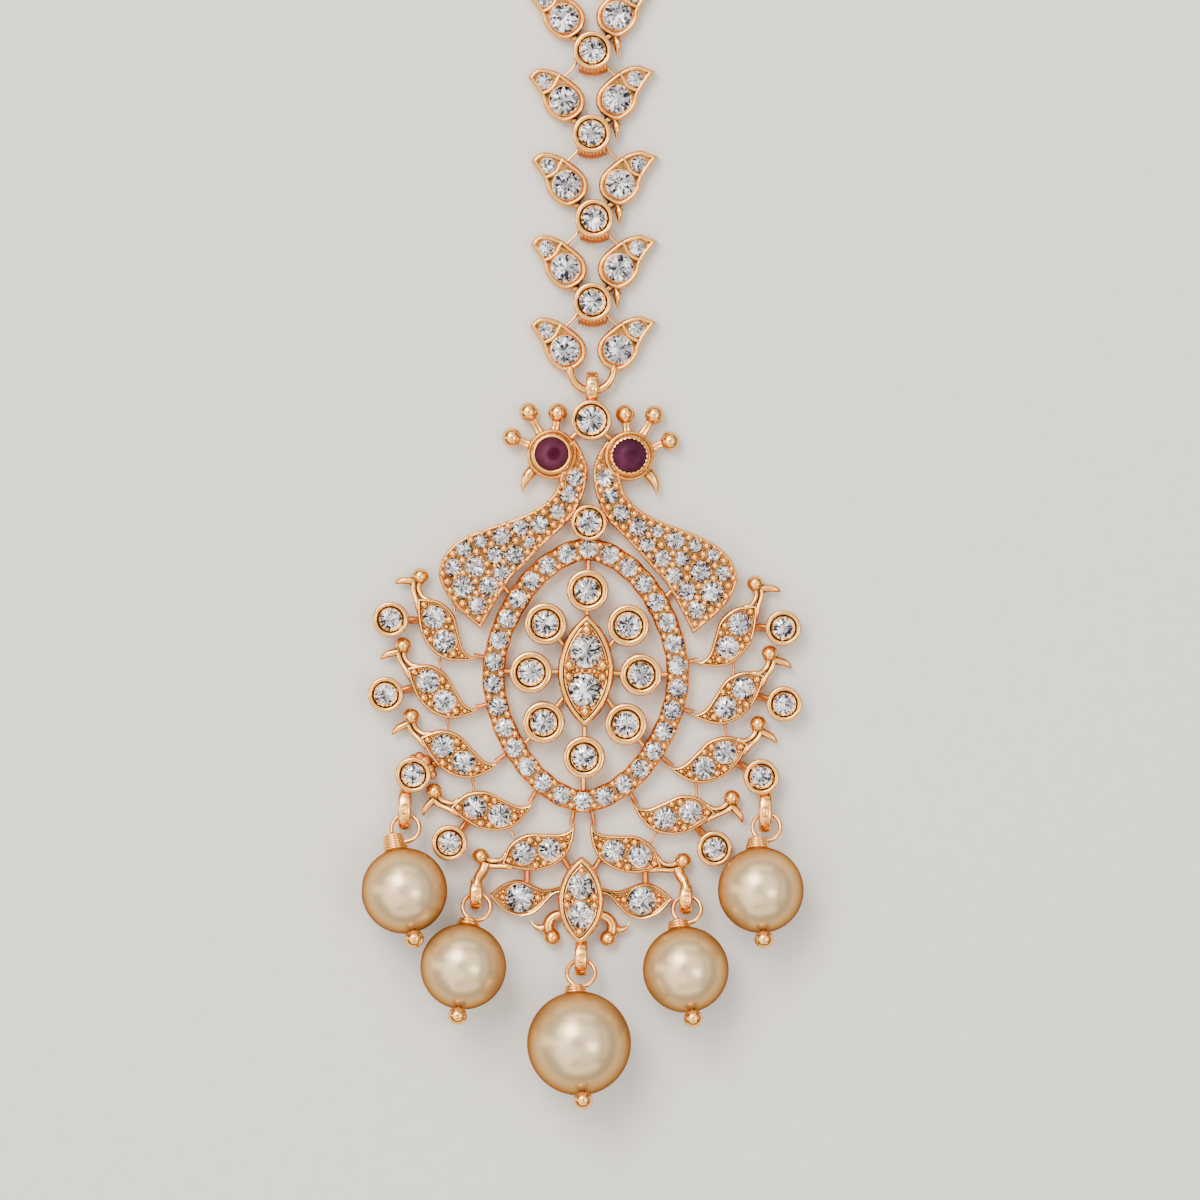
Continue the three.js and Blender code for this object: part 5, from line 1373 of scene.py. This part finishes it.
# Chain links: a pair of leaves, a round setting and an arch of wire
# Each leaf is a smooth-rimmed plate whose S-shaped divider parts a large stone from a small one. A
# coppery claw under the setting holds the next link's arch; the last link ends in a thick half ring.
LINK_PITCH = 5.93
LINK_SETTING_DROP = 2.45
PAIR_SPREAD = 1.9
LINK_LEAF = 3.95
LINK_SHEET = 0.95
LINK_STONE = 1.84
LINK_WALL = 0.34
LINK_SETTING_LOW = 0.98
LINK_SETTING_HIGH = 2.03
HALF_RING_WIRE = 0.6
HALF_RING_RADIUS = 1.55
HALF_RING_DROP = 1.37
ARCH_WIRE = 0.24
ARCH_RISE = 3.5
ARCH = [(-1.9, 1.65), (-1.12, 2.42), (-0.95, 2.95), (-0.85, ARCH_RISE - 0.15), (-0.6, ARCH_RISE)]
LINK_RIM = [(0, 0.35), (0.05, 0.14), (0.13, 0.03), (0.22, 0), (0.3, 0.03), (0.35, 0.1), (0.37, 0.3)]
# points of the leaf as shares of its length, from the middle of its large stone
LINK_TIPS = {"left": (-0.633, 0.443), "right": (-0.7, 0.497)}
LINK_OUTLINE = [(-0.542, 0.557), (-0.38, 0.608), (-0.091, 0.524), (0.253, 0.271), (0.38, 0.07), (0.36, -0.16),
                (0.22, -0.32), (0.0, -0.395), (-0.218, -0.289), (-0.36, -0.1), (-0.43, 0.127)]
LINK_SMALL_PLACE = (-0.337, 0.36)
DIVIDER = [(-0.415, 0.155), (-0.34, 0.155), (-0.2, 0.24), (-0.12, 0.38), (-0.07, 0.47)]
# pointed tab beside the setting: across, along from the setting, height, half thickness
TAB = [(1.6, 1.2, 0.8, 0.15), (1.74, 0.8, 0.85, 0.2), (1.82, 0.55, 0.88, 0.36), (1.8, 0.05, 0.85, 0.2),
       (1.77, -0.5, 0.8, 0.03)]
CLAW = [(-1.5, 0.25), (-1.6, 0.6), (-1.45, 1.0), (-1.1, 1.08), (-0.4, 1.1)]   # along from the setting, height
CLAW_HALF_WIDTH = 0.85
CLAW_STRIPS = 8
CLAW_STRIP = 0.36
LINKS = [(-0.08, 0, 2), (-0.175, -0.1, 1.5), (-0.215, -0.08, 2.3), (-0.56, 0.02, 3), (-0.67, 0, 4)]  # across, up, lean
FIRST_LINK = TOP_BAIL_END[1] - BAIL_STRAP - HALF_RING_WIRE / 2 - 0.7 + HALF_RING_RADIUS + HALF_RING_DROP


def link_placer(number):
    across, up, lean = LINKS[number]
    origin = np.array([across, FIRST_LINK + number * LINK_PITCH + up, 0])
    return lambda points: np.asarray(points, float) @ spun(lean).T + origin


def link_leaf(side_name, side):
    """The shapes of one leaf and the places of its two stones"""
    def own(x, y):
        return np.array([side * (PAIR_SPREAD - x * LINK_LEAF), y * LINK_LEAF])

    tip = LINK_TIPS[side_name]
    line = smooth_line([tip] + LINK_OUTLINE + [tip], 7)[:-1]
    outline = counter_clockwise(np.array([own(x, y) for x, y in line]))
    top = LINK_SHEET + 0.2
    divider = smooth_line([(*own(x, y), top - 0.13) for x, y in DIVIDER], 6)
    return ([plate(outline, top, LINK_RIM, ((0.04, 0), (0, 0.1))), tube(divider, 0.14, 12)],
            [(*own(0, 0), top - 0.06, 1.04), (*own(*LINK_SMALL_PLACE), top - 0.1, 0.56)])


def chain_link(number):
    place = link_placer(number)
    name = f"chain_link_{number + 1}"
    setting = np.array([0, -LINK_SETTING_DROP])
    shapes, stones = [], []
    for side_name, side in SIDES:
        leaf_shapes, leaf_stones = link_leaf(side_name, side)
        shapes += leaf_shapes
        stones += leaf_stones
    seats = [(x, y, z - 0.1, r * 0.98) for x, y, z, r in stones]
    arch = smooth_line(ARCH + [(-x, y) for x, y in ARCH[::-1]], 6)
    lines = [([(x, y, 0.7) for x, y in arch], ARCH_WIRE, False)]
    if number == 0:
        ring = [(HALF_RING_RADIUS * math.cos(a), HALF_RING_RADIUS * math.sin(a) - HALF_RING_DROP, BAIL_HEIGHT / 2)
                for a in np.linspace(math.pi, 2 * math.pi, 33)]
        lines.append((ring, HALF_RING_WIRE, False))
        shapes += [ball(end, HALF_RING_WIRE / 2, 16) for end in (ring[0], ring[-1])]
    else:
        shapes.append(collar(setting, LINK_STONE, LINK_WALL, LINK_SETTING_LOW, LINK_SETTING_HIGH, number))
        stones.append((*setting, LINK_SETTING_HIGH - 0.2, LINK_STONE / 2))
        for side in (-1, 1):
            shapes.append(solder_bar(setting + (side * 0.6, 0.5), (side * 1.45, -1.2), 0.6, 0.3, 0.9))
        tab = np.array(TAB) + (0, setting[1], 0, 0)
        shapes.append(tube(tab[:, :3], tab[:, 3], 10))
    casting = object_of(name + "_casting", [(place(points), faces) for points, faces in shapes], rose_gold, 55, 0.012)
    wire = wires(name + "_wire", [(place(path), thick, closed) for path, thick, closed in lines], rose_gold)
    seat_piece(united(name, [casting, wire]), name)

    def on_link(rows):
        rows = np.array(rows)
        return np.column_stack([place(rows[:, :3]), rows[:, 3]])

    seat_piece(set_pieces(name + "_seats", on_link(seats), seat_pattern, rose_gold, sharp_from=60), name)
    gems = set_pieces(name + "_stones", on_link(stones), stone_pattern, clear_stone, 4, 60 + number)
    seat_piece(gems, name)
    if number > 0:
        claw = []
        for x in np.linspace(-CLAW_HALF_WIDTH, CLAW_HALF_WIDTH, CLAW_STRIPS):
            strip = [(x, setting[1] + y + 0.3 * x * x, z) for y, z in CLAW]
            claw.append((place(smooth_line(strip, 5)), CLAW_STRIP, False))
        seat_piece(wires(name + "_claw", claw, solder_gold), name)


for number in range(len(LINKS)):
    chain_link(number)

# Jump ring and hair hook at the far end
# A plain ring joins the last arch to the eye of the hook. The hook is one wire, bent back on itself
# with its end rounded so that it slides through the hair.
JUMP_RADIUS = 1.15
JUMP_WIRE = 0.4
JUMP_LIFT = 1.35
HOOK_WIRE = 0.6
HOOK_EYE_RADIUS = 1.1
HOOK_LENGTH = 10.5
HOOK_BEND_RADIUS = 1.6
HOOK_RETURN = 6.5
HOOK_LEVEL = 0.9
last_arch = link_placer(len(LINKS) - 1)([(0, ARCH_RISE, 0)])[0]
round_turns = np.linspace(0, 2 * math.pi, 48, endpoint=False)
jump_line = [(last_arch[0], last_arch[1] + 0.35 + JUMP_RADIUS * math.cos(a), JUMP_LIFT + JUMP_RADIUS * math.sin(a))
             for a in round_turns]
seat_piece(wires("jump_ring", [(jump_line, JUMP_WIRE, True)], rose_gold, 18), "jump_ring")


def hair_hook():
    dip = math.asin((HOOK_LEVEL - HOOK_WIRE / 2) / (2 * HOOK_EYE_RADIUS + HOOK_LENGTH))
    origin = np.array([last_arch[0], last_arch[1] + 0.7 + HOOK_EYE_RADIUS,
                       HOOK_LEVEL - HOOK_EYE_RADIUS * math.sin(dip)])
    start, end = HOOK_EYE_RADIUS, HOOK_EYE_RADIUS + HOOK_LENGTH - HOOK_BEND_RADIUS
    shank = [(0, start, 0), (0, (start + end) / 2, 0), (0, end, 0)]
    for angle in range(165, 0, -15):
        turn = math.radians(angle)
        shank.append((HOOK_BEND_RADIUS * (1 + math.cos(turn)), end + HOOK_BEND_RADIUS * math.sin(turn), 0))
    shank += [(2 * HOOK_BEND_RADIUS, end - back, 0) for back in (0, HOOK_RETURN / 2, HOOK_RETURN)]
    eye = [(HOOK_EYE_RADIUS * math.cos(a), HOOK_EYE_RADIUS * math.sin(a), 0) for a in round_turns]

    def place(points):
        return np.asarray(points, float) @ leant(dip).T + origin

    tip, tip_faces = ball(shank[-1], HOOK_WIRE / 2, 18)
    rounded = object_of("hook_tip", [(place(tip), tip_faces)], rose_gold, 60)
    lines = [(place(smooth_line(shank, 4)), HOOK_WIRE, False), (place(eye), HOOK_WIRE, True)]
    return united("hair_hook", [rounded, wires("hook_wire", lines, rose_gold, 18)])


seat_piece(hair_hook(), "hair_hook")
